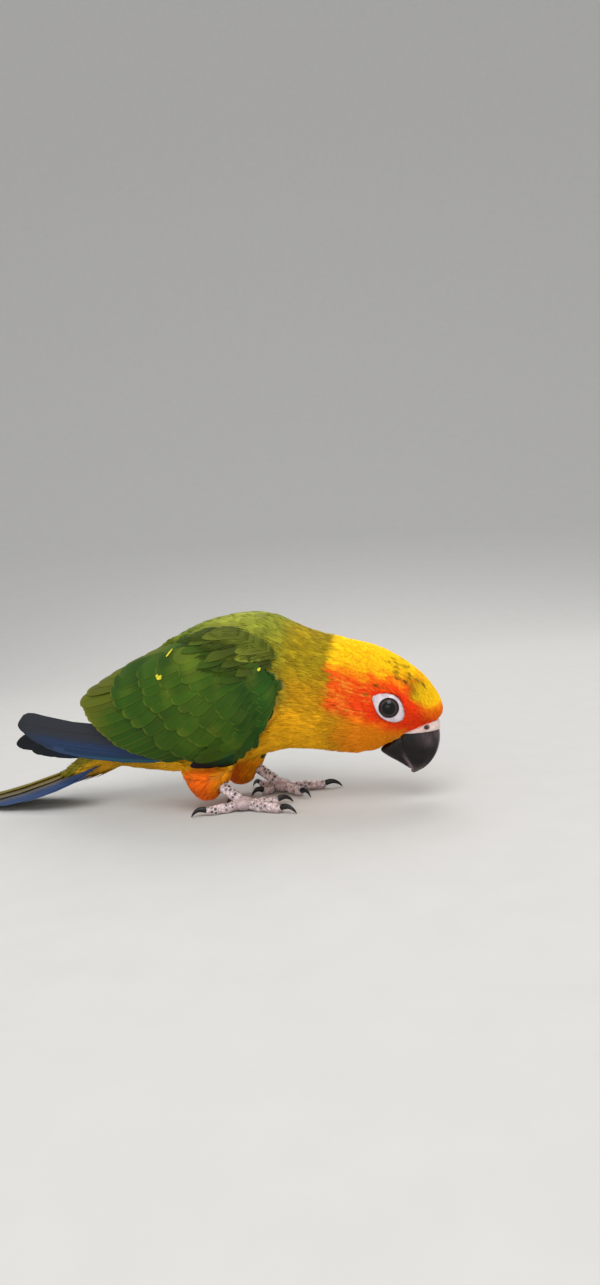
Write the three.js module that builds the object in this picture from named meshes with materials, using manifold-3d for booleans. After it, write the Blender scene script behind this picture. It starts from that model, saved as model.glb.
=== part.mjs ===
// Sun conure standing on its feet with its wings folded, head tipped down, tail laid on the floor.
// Millimetres. +X points from the tail to the bill, +Y to the bird's left, +Z up. The numbers below are in
// a drawing frame whose x = 0 is the top of the bill and whose floor is FLOOR. The end moves the origin.

import * as THREE from 'three';
import Module from 'manifold-3d';
import { mergeVertices } from 'three/addons/utils/BufferGeometryUtils.js';

const wasm = await Module();
wasm.setup();

// Gap kept between neighbouring pieces, and the clearance cut round a seated piece.
const GAP = 0.35;
const SEAT_GAP = 0.45;
// The seat of a wing is cut this much wider than the wing and deeper than its core, and reaches this far out.
const WING_MARGIN = 1.1;
const WING_CLEARANCE = 1;
const SEAT_REACH = 15;

const FLOOR = 6;

// Body outline on the middle plane, from the rump to the face:
// [top x, top z, bottom x, bottom z, half width].
const BODY = [
  [-161, 43, -151, 24.5, 10.4],
  [-149.5, 59, -140, 22.8, 15.5],
  [-134.5, 73.5, -127.5, 21.8, 20.5],
  [-118, 84, -113, 21.4, 24.5],
  [-100.5, 90.4, -98, 22.8, 26.5],
  [-84, 92.6, -86, 26, 26.5],
  [-69.5, 91.2, -75, 28.6, 25],
  [-57.5, 85, -64.5, 30, 21.5],
  [-48, 80.5, -54.5, 29.2, 18.3],
  [-38.9, 77.5, -44.5, 28, 16.8],
  [-30.8, 75.2, -36.5, 27.2, 16.7],
  [-21.9, 72.1, -30, 27.2, 16.3],
  [-14.2, 67.5, -25, 28, 15.5],
  [-7.8, 62.6, -20.5, 30.6, 14.5],
  [-2.8, 57.6, -16, 34, 13.2],
  [0.5, 52.3, -10.5, 36.8, 11.4],
  [2.6, 47.7, -5, 38.4, 9],
  [3.3, 43.8, -1, 38.9, 6.2],
  [3, 41.4, 1, 39.4, 3],
];
const BODY_SIDES = 24;
const BODY_ROUNDNESS = 2.15;
const NECK_START = 7;
const HEAD_START = 9;
const HEAD_END = 18;

const WING_ROUNDNESS = 2.2;
// Surface that the outer faces of both folded wings lie on:
// [x, centre z, half height above, half height below, half width].
const WING_SURFACE = [
  [-52, 57, 27, 27, 21.5],
  [-60, 58, 29, 29, 24.5],
  [-70, 60, 33, 33, 27.8],
  [-85, 59.3, 35.2, 35.2, 29.2],
  [-100, 56.6, 35, 35.5, 29.3],
  [-115, 53, 34, 35, 27.8],
  [-132, 49.5, 31.6, 34, 23.8],
  [-148, 47, 27.4, 33, 20.4],
  [-160, 46, 22.8, 32, 17.8],
  [-175, 45, 20, 30, 15],
  [-190, 46, 20, 28, 12.4],
  [-210, 47, 22, 26, 9.8],
  [-225, 47, 22, 26, 9.2],
];

// Side view of the whole folded wing, from the bend to the tip: [x, lower z, upper z].
const WING_OUTLINE = [
  [-60.2, 56, 62],
  [-62, 50, 65],
  [-66, 43.5, 68.5],
  [-74, 35, 74.5],
  [-84, 28.5, 80.5],
  [-95, 25, 83.5],
  [-106, 25, 84.3],
  [-118, 26, 83.8],
  [-134, 27, 79.5],
  [-150, 27.5, 73],
  [-166, 29.5, 65],
  [-186, 34, 61],
  [-211, 44, 57],
];
// The wing's solid core, in which every feather is rooted, ends under the feathers here.
const CORE_OUTLINE = [
  [-60.2, 56, 62],
  [-62, 50, 65],
  [-66, 43.5, 68.5],
  [-74, 35, 74.5],
  [-84, 28.5, 80.5],
  [-95, 25.5, 83.5],
  [-106, 27.5, 83.4],
  [-118, 30.5, 80.6],
  [-134, 37, 70],
];
// Depth of the wing's inner face under its surface, thinning from the core to the tip between two places.
const WING_DEPTH = 8.2;
const WING_TIP_DEPTH = 4.2;
const WING_THINNING = [148, 200];
const WING_POINTS = 9;
// Depth of the core's outer face against the distance behind the bend, measured along a slanting line whose
// lean and level are given, so that each tier of feathers comes out above the next.
const CORE_LEAN = 0.95;
const CORE_LEVEL = 33;
const CORE_SLOPE = [
  [70, 0.3],
  [80, 1.2],
  [92, 3.2],
  [106, 5.2],
  [120, 6.6],
  [140, 7.4],
];

// Tiers of wing feathers, lowest feather first. Roots and tips are side view points [x, z] on smooth lines.
// Webs are the widths below and above the shaft. Depths are under the wing surface by x, and tilt is the
// depth gained for each millimetre upwards across a feather.
const PRIMARIES = {
  count: 6,
  roots: [[-92, 30.5], [-95, 33.5], [-98, 37]],
  tips: [[-201, 43.6], [-207.5, 47], [-208.8, 49.8], [-206.5, 51.2]],
  bows: [-6.5, -2],
  webs: [2.8, 5.4],
  depths: [
    [-90, 5],
    [-120, 5.2],
    [-140, 5.8],
    [-150, 5.8],
    [-166, 4.9],
    [-180, 3.7],
    [-195, 2.9],
    [-212, 2.2],
  ],
  tilt: 0.26,
  thickness: [0.9, 0.5],
  shape: [[0, 0.5], [0.3, 0.9], [0.55, 1], [0.78, 0.95], [0.93, 0.62], [1, 0.14]],
};
const SECONDARIES = {
  count: 7,
  roots: [[-86, 38], [-100, 57], [-108, 73]],
  tips: [[-124, 28.5], [-143, 36], [-157, 47], [-166, 59]],
  bows: [-1.5, 0],
  webs: [4.2, 5],
  depths: [[-90, 4.1], [-120, 4], [-140, 3], [-155, 1.9], [-170, 1.3]],
  tilt: 0.14,
  thickness: [0.85, 0.5],
  shape: [[0, 0.6], [0.4, 1], [0.75, 1], [0.93, 0.72], [1, 0.2]],
};
const TERTIALS = {
  count: 4,
  roots: [[-107, 75.5], [-104, 79], [-100, 82]],
  tips: [[-162, 64.5], [-153, 69.3], [-143, 74], [-130, 79]],
  bows: [0, 1],
  webs: [3.8, 4.4],
  depths: [[-90, 3.4], [-115, 2.6], [-140, 1.8], [-160, 1.2]],
  tilt: 0.15,
  thickness: [0.85, 0.5],
  shape: [[0, 0.6], [0.4, 1], [0.75, 1], [0.93, 0.72], [1, 0.2]],
};
const GREATER_COVERTS = {
  count: 8,
  roots: [[-78, 36], [-92, 50], [-108, 66], [-113, 75]],
  tips: [[-108, 27.5], [-121, 38.5], [-136, 49], [-146, 61], [-143, 71]],
  bows: [-0.6, 0],
  webs: [3.8, 4.4],
  depths: [[-75, 2.3], [-100, 1.9], [-125, 1.2], [-147, 0.6]],
  tilt: 0.15,
  thickness: [0.6, 0.6],
  shape: [[0, 0.7], [0.5, 1], [0.84, 0.85], [1, 0.3]],
};
const MEDIAN_COVERTS = {
  count: 7,
  roots: [[-74, 42], [-88, 58], [-101, 74]],
  tips: [[-94, 33], [-107, 45], [-120, 57], [-124, 70]],
  bows: [0, 0],
  webs: [3.8, 4.4],
  depths: [[-70, 1.2], [-90, 0.2], [-125, -0.2]],
  tilt: 0.15,
  thickness: [0.6, 0.6],
  shape: [[0, 0.7], [0.5, 1], [0.84, 0.85], [1, 0.3]],
};
const WING_TIERS = [PRIMARIES, SECONDARIES, TERTIALS, GREATER_COVERTS, MEDIAN_COVERTS];
// The left wing hangs a little: its primaries sink by this much at their tips, which reach further back.
const WING_DROOP = { right: 0, left: 12.5 };
const WING_REACH = { right: 0, left: 14 };
const FULL_REACH = 110;
const LENGTH_VARIATION = 0.8;
const PRIMARY_SPAN = 115;
const WRIST_X = -95;
const WING_SEEDS = { right: 11, left: 29 };

// Middle line of the tail in side view, from the rump to the tip, which lies on the floor: [x, z].
const TAIL_LINE = [
  [-156.8, 33.6],
  [-165, 30],
  [-176, 25.8],
  [-190, 21.3],
  [-207, 16.6],
  [-226, 12.4],
  [-246, 9.2],
  [-268, 6.9],
];
// Fleshy root of the tail: [share of the line, half width, half height].
const TAIL_ROOT = [
  [0, 9.9, 9.4],
  [0.07, 9.4, 8],
  [0.15, 9, 6],
  [0.24, 8, 3.8],
  [0.31, 6, 2],
];
// Tail feathers from the middle pair outwards:
// [share of the line, distance of the shaft from the middle at the root, the same at the tip].
const TAIL_RANKS = [
  [1, 1.2, 2.6],
  [0.94, 2.6, 5],
  [0.85, 3.9, 7],
  [0.75, 5, 8.6],
  [0.63, 5.9, 10],
  [0.5, 6.6, 11],
];
const TAIL_ROOT_SHARE = 0.06;
const TAIL_WEB = 5.6;
const TAIL_OUTER_WEB = 4.6;
const TAIL_STEP = 0.98;
const TAIL_THICKNESS = [0.85, 0.5];
const TAIL_SHAPE = [[0, 0.55], [0.3, 0.95], [0.6, 1], [0.82, 0.82], [0.94, 0.5], [1, 0.14]];
// Covering feathers over and under the tail root: [level over the line, root share, tip share, spread].
const TAIL_COVERTS = [
  [3, 0.02, 0.3, 4],
  [-6.8, 0.02, 0.24, 4.4],
];
const TAIL_COVERT_COUNT = 5;
const TAIL_COVERT_WEB = 4.2;
const TAIL_COVERT_THICKNESS = [0.6, 0.6];
const TAIL_COVERT_FALL = 1.6;
const TAIL_COVERT_SHAPE = [[0, 0.7], [0.5, 1], [0.84, 0.85], [1, 0.3]];

// Legs: feet stand at FOOT_SIDE from the middle, the left one a little ahead of the right.
const FOOT_SIDE = 15.5;
const FOOT_X = { right: -85, left: -79 };
const FOOT_HEIGHT = 3.2;
const ANKLE_BACK = 13;
const ANKLE_HEIGHT = 13;
const TARSUS_RADIUS = 2.3;
const TARSUS_INSET = 0.8;
const FOOT_PAD = [4.6, 4.3, 3.5];
// Feathered thigh of the right leg from the top down: [z, x, half length, half width].
const THIGH = [
  [35, -99, 14, 8],
  [29, -100.5, 14.5, 9.5],
  [23, -101.5, 12.3, 9.5],
  [18, -102.3, 9.6, 8.2],
  [13.6, -102.8, 6.2, 5.6],
  [11, -102.6, 3.8, 3.7],
];
const THIGH_INSET = 1.5;
const THIGH_FOLLOW = 0.6;
// Each toe: [name, turn from straight ahead towards the outer side in degrees, length, claw length].
const TOES = [
  ['front_inner', -34, 15, 6.5],
  ['front_outer', 14, 20, 7.5],
  ['hind_outer', 152, 16.5, 6.5],
  ['hind_inner', 214, 9.5, 5.5],
];
const TOE_START = 5.4;
const TOE_RADIUS = 2.05;
const CLAW_RADIUS = 1.3;
// Toe and claw from root to tip: [share of the length, height over the floor, half width, half height],
// the last two in toe or claw radii.
const TOE_SHAPE = [
  [0, 2.6, 0.84, 0.92],
  [0.2, 2.05, 1.05, 1.1],
  [0.42, 2.3, 0.92, 1],
  [0.66, 1.95, 1, 1.04],
  [0.9, 1.9, 0.84, 0.94],
  [1, 2.1, 0.5, 0.6],
];
const CLAW_SHAPE = [
  [0, 2.5, 0.8, 1],
  [0.3, 3.1, 0.78, 0.95],
  [0.62, 2.7, 0.55, 0.7],
  [0.86, 1.6, 0.32, 0.42],
  [0.98, 0.5, 0.14, 0.2],
];

// Bill sections from the face to the tip: [front x, front z, rear x, rear z, half width].
const UPPER_BILL = [
  [0.6, 36.2, -16, 34.7, 5.9],
  [0.8, 33.2, -15.8, 31.6, 6],
  [0.3, 29.6, -15.2, 28.2, 5.7],
  [-1.2, 25.6, -14.2, 25.4, 4.9],
  [-3.5, 22.2, -12.8, 23.6, 4],
  [-6.4, 19.6, -11.2, 22, 2.8],
  [-9.4, 18, -11, 20.2, 1.7],
  [-12, 17, -12.4, 18, 0.6],
];
const LOWER_BILL = [
  [-9, 34.6, -18.4, 33.8, 4.9],
  [-9, 32, -22, 30.6, 5.3],
  [-9, 29, -25, 27.7, 5.1],
  [-9, 26.6, -22, 25, 4.6],
  [-9.6, 24.4, -17.2, 22.8, 4],
  [-10.8, 22.6, -14.6, 21.2, 3.3],
  [-11.9, 21.5, -13.2, 20.7, 2.7],
];
const BILL_ROUNDNESS = 2.3;
// Bare strip over the bill: [z, x, half length, half width].
const CERE = [
  [36.6, -6.6, 7.3, 5.9],
  [37.6, -6.2, 7.4, 6],
  [39, -5.4, 6.6, 5.6],
  [40.4, -4.6, 5.2, 4.6],
];
const CERE_TILT = 0.12;
const NOSTRIL = { x: -2.9, y: 5.6, z: 38.2, radius: 0.75, depth: 2.4 };

// Right eye in side view, how deep its centre lies, and the inner and outer edges of the bare ring round it,
// which is drawn out to a corner behind and above.
const EYE_X = -15.7;
const EYE_Z = 47.5;
const EYE_RADIUS = 4.6;
const EYE_DEPTH = 2.7;
const LID_INNER = 3.95;
const LID_OUTER = 5.3;
// Corners that the bare ring is drawn out to: angle round the eye, further reach and sharpness.
const LID_CORNERS = [
  [141, 2.7, 10],
  [-42, 3.3, 4],
];
const LID_CURVE = 34;

const COLOURS = {
  torso: 0xb99a2c,
  neck: 0xd6a52b,
  head: 0xf0971f,
  cere: 0xe6d3c8,
  bill: 0x2c2a2b,
  eye: 0x150f0d,
  lid: 0xe3dad4,
  wing: 0x46602b,
  tail: 0x5d6a36,
  thigh: 0xe68a2b,
  leg: 0xb6a299,
  claw: 0x1d1a1a,
};

const vector = (x, y, z) => new THREE.Vector3(x, y, z);
const radians = (degrees) => THREE.MathUtils.degToRad(degrees);
const mix = (a, b, share) => a + (b - a) * share;
const SIDES = ['right', 'left'];
const sideSign = (side) => (side === 'right' ? -1 : 1);

// Straight-line reading of a table whose first column runs up or down steadily.
function readTable(table, position) {
  const rising = table[table.length - 1][0] > table[0][0];
  const reached = (row) => (rising ? row[0] >= position : row[0] <= position);
  let index = table.findIndex(reached);
  if (index < 0) {
    index = table.length - 1;
  }
  index = Math.max(index, 1);
  const [before, after] = [table[index - 1], table[index]];
  const share = THREE.MathUtils.clamp((position - before[0]) / (after[0] - before[0]), 0, 1);
  return before.slice(1).map((value, column) => mix(value, after[column + 1], share));
}

// Skin over rings of equally many points. Both halves of a ring are split alike, so thin vanes stay true.
function loft(rings, closed = false) {
  const size = rings[0].length;
  const half = size / 2;
  const spans = closed ? rings.length : rings.length - 1;
  const indices = [];
  const at = (ring, point) => (ring % rings.length) * size + (point % size);
  for (let ring = 0; ring < spans; ring += 1) {
    for (let point = 0; point < size; point += 1) {
      const [a, b] = [at(ring, point), at(ring, point + 1)];
      const [d, c] = [at(ring + 1, point), at(ring + 1, point + 1)];
      indices.push(...(point < half ? [a, b, c, a, c, d] : [a, b, d, b, c, d]));
    }
  }
  if (!closed) {
    const last = (rings.length - 1) * size;
    for (let point = 0; point + 1 < half; point += 1) {
      const [a, b, c, d] = [point, point + 1, size - 2 - point, size - 1 - point];
      indices.push(b, a, d, b, d, c);
      indices.push(last + a, last + b, last + d, last + b, last + c, last + d);
    }
  }
  const geometry = new THREE.BufferGeometry();
  const positions = rings.flat().flatMap((point) => [point.x, point.y, point.z]);
  geometry.setAttribute('position', new THREE.Float32BufferAttribute(positions, 3));
  geometry.setIndex(indices);
  return geometry;
}

// Closed geometry as a solid; a geometry wound inside out is turned first.
function solid(geometry) {
  const bare = geometry.clone();
  bare.deleteAttribute('normal');
  bare.deleteAttribute('uv');
  const merged = mergeVertices(bare, 1e-5);
  const vertProperties = new Float32Array(merged.attributes.position.array);
  const triVerts = new Uint32Array(merged.index.array);
  const make = () => new wasm.Manifold(new wasm.Mesh({ numProp: 3, vertProperties, triVerts }));
  const made = make();
  if (made.volume() > 0) {
    return made;
  }
  for (let corner = 0; corner < triVerts.length; corner += 3) {
    [triVerts[corner], triVerts[corner + 1]] = [triVerts[corner + 1], triVerts[corner]];
  }
  return make();
}

const loftSolid = (rings, closed = false) => solid(loft(rings, closed));

// Oval ring round a centre, in the plane of two unit directions.
function ovalRing(centre, side, up, halfSide, halfUp, count, roundness = 2) {
  const ring = [];
  for (let point = 0; point < count; point += 1) {
    const angle = ((point + 0.5) / count) * 2 * Math.PI;
    const [cosine, sine] = [Math.cos(angle), Math.sin(angle)];
    const across = Math.sign(cosine) * Math.abs(cosine) ** (2 / roundness) * halfSide;
    const upward = Math.sign(sine) * Math.abs(sine) ** (2 / roundness) * halfUp;
    ring.push(centre.clone().addScaledVector(side, across).addScaledVector(up, upward));
  }
  return ring;
}

// Limb of oval sections along a path: [point, half width, half height].
function limb(sections, count) {
  const rings = sections.map(([point, halfSide, halfUp], index) => {
    const before = sections[Math.max(index - 1, 0)][0];
    const after = sections[Math.min(index + 1, sections.length - 1)][0];
    const along = after.clone().sub(before).normalize();
    const side = vector(0, 0, 1).cross(along).normalize();
    const up = along.clone().cross(side).normalize();
    return ovalRing(point, side, up, halfSide, halfUp, count);
  });
  return loftSolid(rings);
}

// Keeps only what stands above the floor, which leaves small flats under the feet and tail.
function aboveFloor(piece) {
  const [long, high] = [600, 200];
  const slab = new THREE.BoxGeometry(long, high, high);
  slab.translate(0, 0, FLOOR + high / 2);
  return piece.intersect(solid(slab));
}

// The largest closed surface of a solid.
function largest(piece) {
  const parts = piece.decompose();
  parts.sort((a, b) => b.volume() - a.volume());
  return parts[0];
}

// Top and bottom of the body as smooth lines that also carry its half width.
const topLine = new THREE.CatmullRomCurve3(BODY.map(([x, z, , , half]) => vector(x, half, z)));
const bottomLine = new THREE.CatmullRomCurve3(BODY.map(([, , x, z, half]) => vector(x, half, z)));

function bodySection(station) {
  const share = station / (BODY.length - 1);
  const top = topLine.getPoint(share);
  const bottom = bottomLine.getPoint(share);
  const half = top.y;
  top.y = 0;
  bottom.y = 0;
  const centre = top.clone().add(bottom).multiplyScalar(0.5);
  const up = top.clone().sub(bottom);
  const halfUp = up.length() / 2;
  return { centre, up: up.normalize(), half, halfUp };
}

function bodyRing(station) {
  const { centre, up, half, halfUp } = bodySection(station);
  return ovalRing(centre, vector(0, 1, 0), up, half, halfUp, BODY_SIDES, BODY_ROUNDNESS);
}

// Steps along the body that part two neighbouring pieces by the gap.
function gapStep(station) {
  const reach = bodySection(station + 0.5).centre.distanceTo(bodySection(station - 0.5).centre);
  return GAP / reach;
}

function bodyPiece(from, to, step) {
  const rings = [];
  const count = Math.round((to - from) / step);
  for (let index = 0; index <= count; index += 1) {
    rings.push(bodyRing(mix(from, to, index / count)));
  }
  return loftSolid(rings);
}

// Half width of the body where a side view point lies.
function bodySide(x, z) {
  let [low, high] = [0, BODY.length - 1];
  const ahead = (station) => {
    const { centre, up } = bodySection(station);
    return (x - centre.x) * up.z - (z - centre.z) * up.x;
  };
  for (let round = 0; round < 40; round += 1) {
    const middle = (low + high) / 2;
    if (ahead(middle) > 0) {
      low = middle;
    } else {
      high = middle;
    }
  }
  const { centre, up, half, halfUp } = bodySection(low);
  const level = ((x - centre.x) * up.x + (z - centre.z) * up.z) / halfUp;
  return half * Math.max(1 - Math.abs(level) ** BODY_ROUNDNESS, 0) ** (1 / BODY_ROUNDNESS);
}

// Section of the wing surface at x, with the half height of its upper or its lower part.
function wingSection(x, above) {
  const [centre, upper, lower, halfWidth] = readTable(WING_SURFACE, x);
  return [centre, above ? upper : lower, halfWidth];
}

function wingAngle(x, z) {
  const [centre, halfHeight, halfWidth] = wingSection(x, z > readTable(WING_SURFACE, x)[0]);
  const level = THREE.MathUtils.clamp((z - centre) / halfHeight, -0.98, 0.98);
  const out = halfWidth * (1 - Math.abs(level) ** WING_ROUNDNESS) ** (1 / WING_ROUNDNESS);
  return Math.atan2(level * halfHeight, out);
}

// Point of the wing surface on the right side, by its angle in the section and its depth under the surface.
function wingPoint(x, angle, depth) {
  const [centre, halfHeight, halfWidth] = wingSection(x, angle > 0);
  const [cosine, sine] = [Math.cos(angle), Math.sin(angle)];
  const across = Math.abs(cosine / halfWidth) ** WING_ROUNDNESS;
  const upward = Math.abs(sine / halfHeight) ** WING_ROUNDNESS;
  const reach = (across + upward) ** (-1 / WING_ROUNDNESS) - depth;
  return vector(x, -reach * cosine, centre + reach * sine);
}

// Angles of the wing surface across an outline's section, from its lower to its upper edge.
function sectionAngles(x, low, high) {
  const [from, to] = [wingAngle(x, low), wingAngle(x, high)];
  return Array.from({ length: WING_POINTS }, (_, point) => mix(from, to, point / (WING_POINTS - 1)));
}

// The wing's core: its outer face slopes away under the feathers and is rounded at its edges.
function wingCore() {
  const edgeRounding = 0.28;
  const frontRounding = 0.55;
  const rings = CORE_OUTLINE.map(([x, low, high], index) => {
    const angles = sectionAngles(x, low, high);
    const outer = angles.map((angle, point) => {
      const behind = -x - CORE_LEAN * (wingPoint(x, angle, 0).z - CORE_LEVEL);
      const atEdge = Math.abs((2 * point) / (WING_POINTS - 1) - 1) ** 6;
      const rounding = Math.max(atEdge * edgeRounding, index === 0 ? frontRounding : 0);
      return wingPoint(x, angle, mix(readTable(CORE_SLOPE, behind)[0], WING_DEPTH, rounding));
    });
    return [...outer, ...angles.reverse().map((angle) => wingPoint(x, angle, WING_DEPTH))];
  });
  return loftSolid(rings);
}

// How far the primaries of a wing hang below their place, growing towards the tips.
function primarySag(x, side) {
  return WING_DROOP[side] * (Math.max(WRIST_X - x, 0) / PRIMARY_SPAN) ** 2;
}

// Room that the folded wing takes out of the body: its walls follow the wing, then run straight outwards.
function wingSeat(side) {
  const above = -0.6;
  const rings = WING_OUTLINE.map(([column, low, high], index) => {
    const end = index === 0 ? 1 : index === WING_OUTLINE.length - 1 ? -1 : 0;
    const x = column + end * WING_MARGIN;
    const angles = sectionAngles(x, low - WING_MARGIN - primarySag(x, side), high + WING_MARGIN);
    const [first, last] = [angles[0], angles[angles.length - 1]];
    const thinning = THREE.MathUtils.smoothstep(-x, ...WING_THINNING);
    const depth = mix(WING_DEPTH, WING_TIP_DEPTH, thinning) + WING_CLEARANCE;
    const outside = angles.map((angle) => {
      const onSurface = wingPoint(x, angle, above);
      return onSurface.setY(onSurface.y - SEAT_REACH);
    });
    const inside = angles.map((angle) => wingPoint(x, angle, depth)).reverse();
    return [
      wingPoint(x, first, above),
      ...outside,
      wingPoint(x, last, above),
      wingPoint(x, last, depth / 2),
      ...inside,
      wingPoint(x, first, depth / 2),
    ];
  });
  return loftSolid(rings);
}

// Steady stream of numbers between -1 and 1 for the natural unevenness of feathers.
function makeVariation(seed) {
  let state = seed;
  return () => {
    state = (state * 16807) % 2147483647;
    return (state / 2147483647) * 2 - 1;
  };
}

// Smooth line through side view points, read evenly.
function sideLine(points, share) {
  const line = new THREE.CatmullRomCurve3(points.map(([x, z]) => vector(x, 0, z)));
  return line.getPoint(share);
}

// Section of a feather: lower edge, shaft and upper edge on the outer face, then the same on the inner face.
// An even thickness needs no shaft ridge.
function featherSection(place, lowerWeb, upperWeb, [ridge, edge]) {
  const across = ridge > edge ? [-lowerWeb, 0, upperWeb] : [-lowerWeb, upperWeb];
  const half = (offset) => (offset === 0 ? ridge : edge) / 2;
  const outer = across.map((offset) => place(offset, -half(offset)));
  const inner = across.map((offset) => place(offset, half(offset)));
  return [...outer, ...inner.reverse()];
}

// Feather of the wing, laid along the wing surface from its root to its tip.
function wingFeather(tier, root, tip, bow, sagAt) {
  const direction = tip.clone().sub(root).normalize();
  const rings = tier.shape.map(([share, width]) => {
    const centre = root.clone().lerp(tip, share);
    centre.z += bow * 4 * share * (1 - share) - sagAt(centre.x);
    const angle = wingAngle(centre.x, centre.z);
    const onSurface = wingPoint(centre.x, angle, 0);
    const reach = Math.hypot(onSurface.y, onSurface.z - readTable(WING_SURFACE, centre.x)[0]);
    const depth = readTable(tier.depths, centre.x)[0];
    const place = (offset, inward) => {
      const x = centre.x + direction.z * offset;
      const turned = angle - (direction.x * offset) / reach;
      return wingPoint(x, turned, depth + tier.tilt * offset + inward);
    };
    return featherSection(place, tier.webs[0] * width, tier.webs[1] * width, tier.thickness);
  });
  return loftSolid(rings);
}

// One tier of feathers; only primaries hang and are drawn out by the reach of their wing.
function wingTier(tier, side, variation) {
  const feathers = [];
  const sagAt = (x) => (tier === PRIMARIES ? primarySag(x, side) : 0);
  const stretch = 1 + (tier === PRIMARIES ? WING_REACH[side] / FULL_REACH : 0);
  for (let index = 0; index < tier.count; index += 1) {
    const share = index / (tier.count - 1);
    const root = sideLine(tier.roots, share);
    const tip = sideLine(tier.tips, share);
    const length = tip.distanceTo(root) + variation() * LENGTH_VARIATION;
    tip.sub(root).setLength(length * stretch).add(root);
    feathers.push(wingFeather(tier, root, tip, mix(tier.bows[0], tier.bows[1], share), sagAt));
  }
  return feathers;
}

function wing(side, seed) {
  const variation = makeVariation(seed);
  const feathers = WING_TIERS.flatMap((tier) => wingTier(tier, side, variation));
  return feathers.reduce((joined, feather) => joined.add(feather), wingCore());
}

const bySide = (piece, side) => (side === 'right' ? piece : piece.mirror([0, 1, 0]));

const tailLine = new THREE.CatmullRomCurve3(TAIL_LINE.map(([x, z]) => vector(x, 0, z)));

function tailFrame(share) {
  const point = tailLine.getPointAt(share);
  const along = tailLine.getTangentAt(share);
  const up = vector(0, 1, 0).cross(along).normalize();
  return { point, up: up.z < 0 ? up.negate() : up };
}

// Feather of the tail: its shaft runs from one offset beside the middle to another at a level over the line.
function tailFeather(side, from, to, shafts, webs, level, thickness, shape) {
  const rings = shape.map(([share, width]) => {
    const way = mix(from, to, share);
    const { point, up } = tailFrame(way);
    const shaft = mix(shafts[0], shafts[1], Math.sqrt(share));
    const height = level * mix(1, 0.72, way) * mix(0.6, 1, Math.min(share * 3, 1));
    const place = (offset, inward) => point.clone()
      .addScaledVector(vector(0, 1, 0), sideSign(side) * (shaft + offset))
      .addScaledVector(up, height - inward);
    return featherSection(place, webs[0] * width, webs[1] * width, thickness);
  });
  return loftSolid(rings);
}

function tailFeathers(side) {
  return TAIL_RANKS.map(([length, atRoot, atTip], rank) => {
    const level = -TAIL_STEP * (rank + (rank === 0 && side === 'right' ? 0 : 1));
    const inner = rank === 0 ? TAIL_WEB : Math.min(TAIL_WEB, mix(atRoot, atTip, 0.5) - GAP);
    const webs = [inner, TAIL_OUTER_WEB];
    const shafts = [atRoot, atTip];
    return tailFeather(side, TAIL_ROOT_SHARE, length, shafts, webs, level, TAIL_THICKNESS, TAIL_SHAPE);
  });
}

// Coverts over and under the tail root, every other one a little further from the line.
function tailCoverts() {
  const middle = (TAIL_COVERT_COUNT - 1) / 2;
  const webs = [TAIL_COVERT_WEB, TAIL_COVERT_WEB];
  return TAIL_COVERTS.flatMap(([level, from, to, spread]) => (
    Array.from({ length: TAIL_COVERT_COUNT }, (_, index) => {
      const place = (index - middle) / middle;
      const lower = Math.sign(level) * Math.abs(place) * TAIL_COVERT_FALL;
      const shafts = [place * spread * 0.8, place * spread];
      const reach = to - Math.abs(place) * 0.05;
      const height = level - lower + (index % 2) * Math.sign(level);
      return tailFeather('left', from, reach, shafts, webs, height, TAIL_COVERT_THICKNESS, TAIL_COVERT_SHAPE);
    })
  ));
}

function tail() {
  const rings = TAIL_ROOT.map(([share, halfSide, halfUp]) => {
    const { point, up } = tailFrame(share);
    return ovalRing(point.addScaledVector(up, -2 * share), vector(0, 1, 0), up, halfSide, halfUp, 20, 2.2);
  });
  const feathers = [...SIDES.flatMap(tailFeathers), ...tailCoverts()];
  return aboveFloor(feathers.reduce((joined, feather) => joined.add(feather), loftSolid(rings)));
}

function ankle(side) {
  return vector(FOOT_X[side] - ANKLE_BACK, sideSign(side) * (FOOT_SIDE - TARSUS_INSET), FLOOR + ANKLE_HEIGHT);
}

function footCentre(side) {
  return vector(FOOT_X[side], sideSign(side) * FOOT_SIDE, FLOOR + FOOT_HEIGHT);
}

function tarsus(side, grow) {
  const [high, low] = [ankle(side), footCentre(side)];
  const at = (share) => high.clone().lerp(low, share);
  const shank = limb([
    [at(-0.03 - grow * 0.05), TARSUS_RADIUS + 0.2 + grow, TARSUS_RADIUS + 0.3 + grow],
    [at(0.25), TARSUS_RADIUS + grow, TARSUS_RADIUS + grow],
    [at(0.7), TARSUS_RADIUS - 0.1 + grow, TARSUS_RADIUS + 0.1 + grow],
    [at(1), TARSUS_RADIUS + grow, TARSUS_RADIUS + 0.2 + grow],
  ], 10);
  const pad = new THREE.SphereGeometry(1, 12, 8);
  pad.scale(...FOOT_PAD.map((half) => half + grow));
  pad.translate(low.x, low.y, low.z);
  return aboveFloor(shank.add(solid(pad)));
}

function thigh(side, grow) {
  const y = sideSign(side) * (FOOT_SIDE - THIGH_INSET);
  const shift = (FOOT_X[side] - FOOT_X.right) * THIGH_FOLLOW;
  const rings = THIGH.map(([z, x, halfLong, halfSide], index) => {
    const end = index === 0 ? grow : index === THIGH.length - 1 ? -grow : 0;
    const centre = vector(x + shift, y, z + end);
    return ovalRing(centre, vector(1, 0, 0), vector(0, 1, 0), halfLong + grow, halfSide + grow, 18);
  });
  return loftSolid(rings);
}

function toeDirection(side, turn) {
  const angle = radians(turn);
  return vector(Math.cos(angle), sideSign(side) * Math.sin(angle), 0);
}

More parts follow.
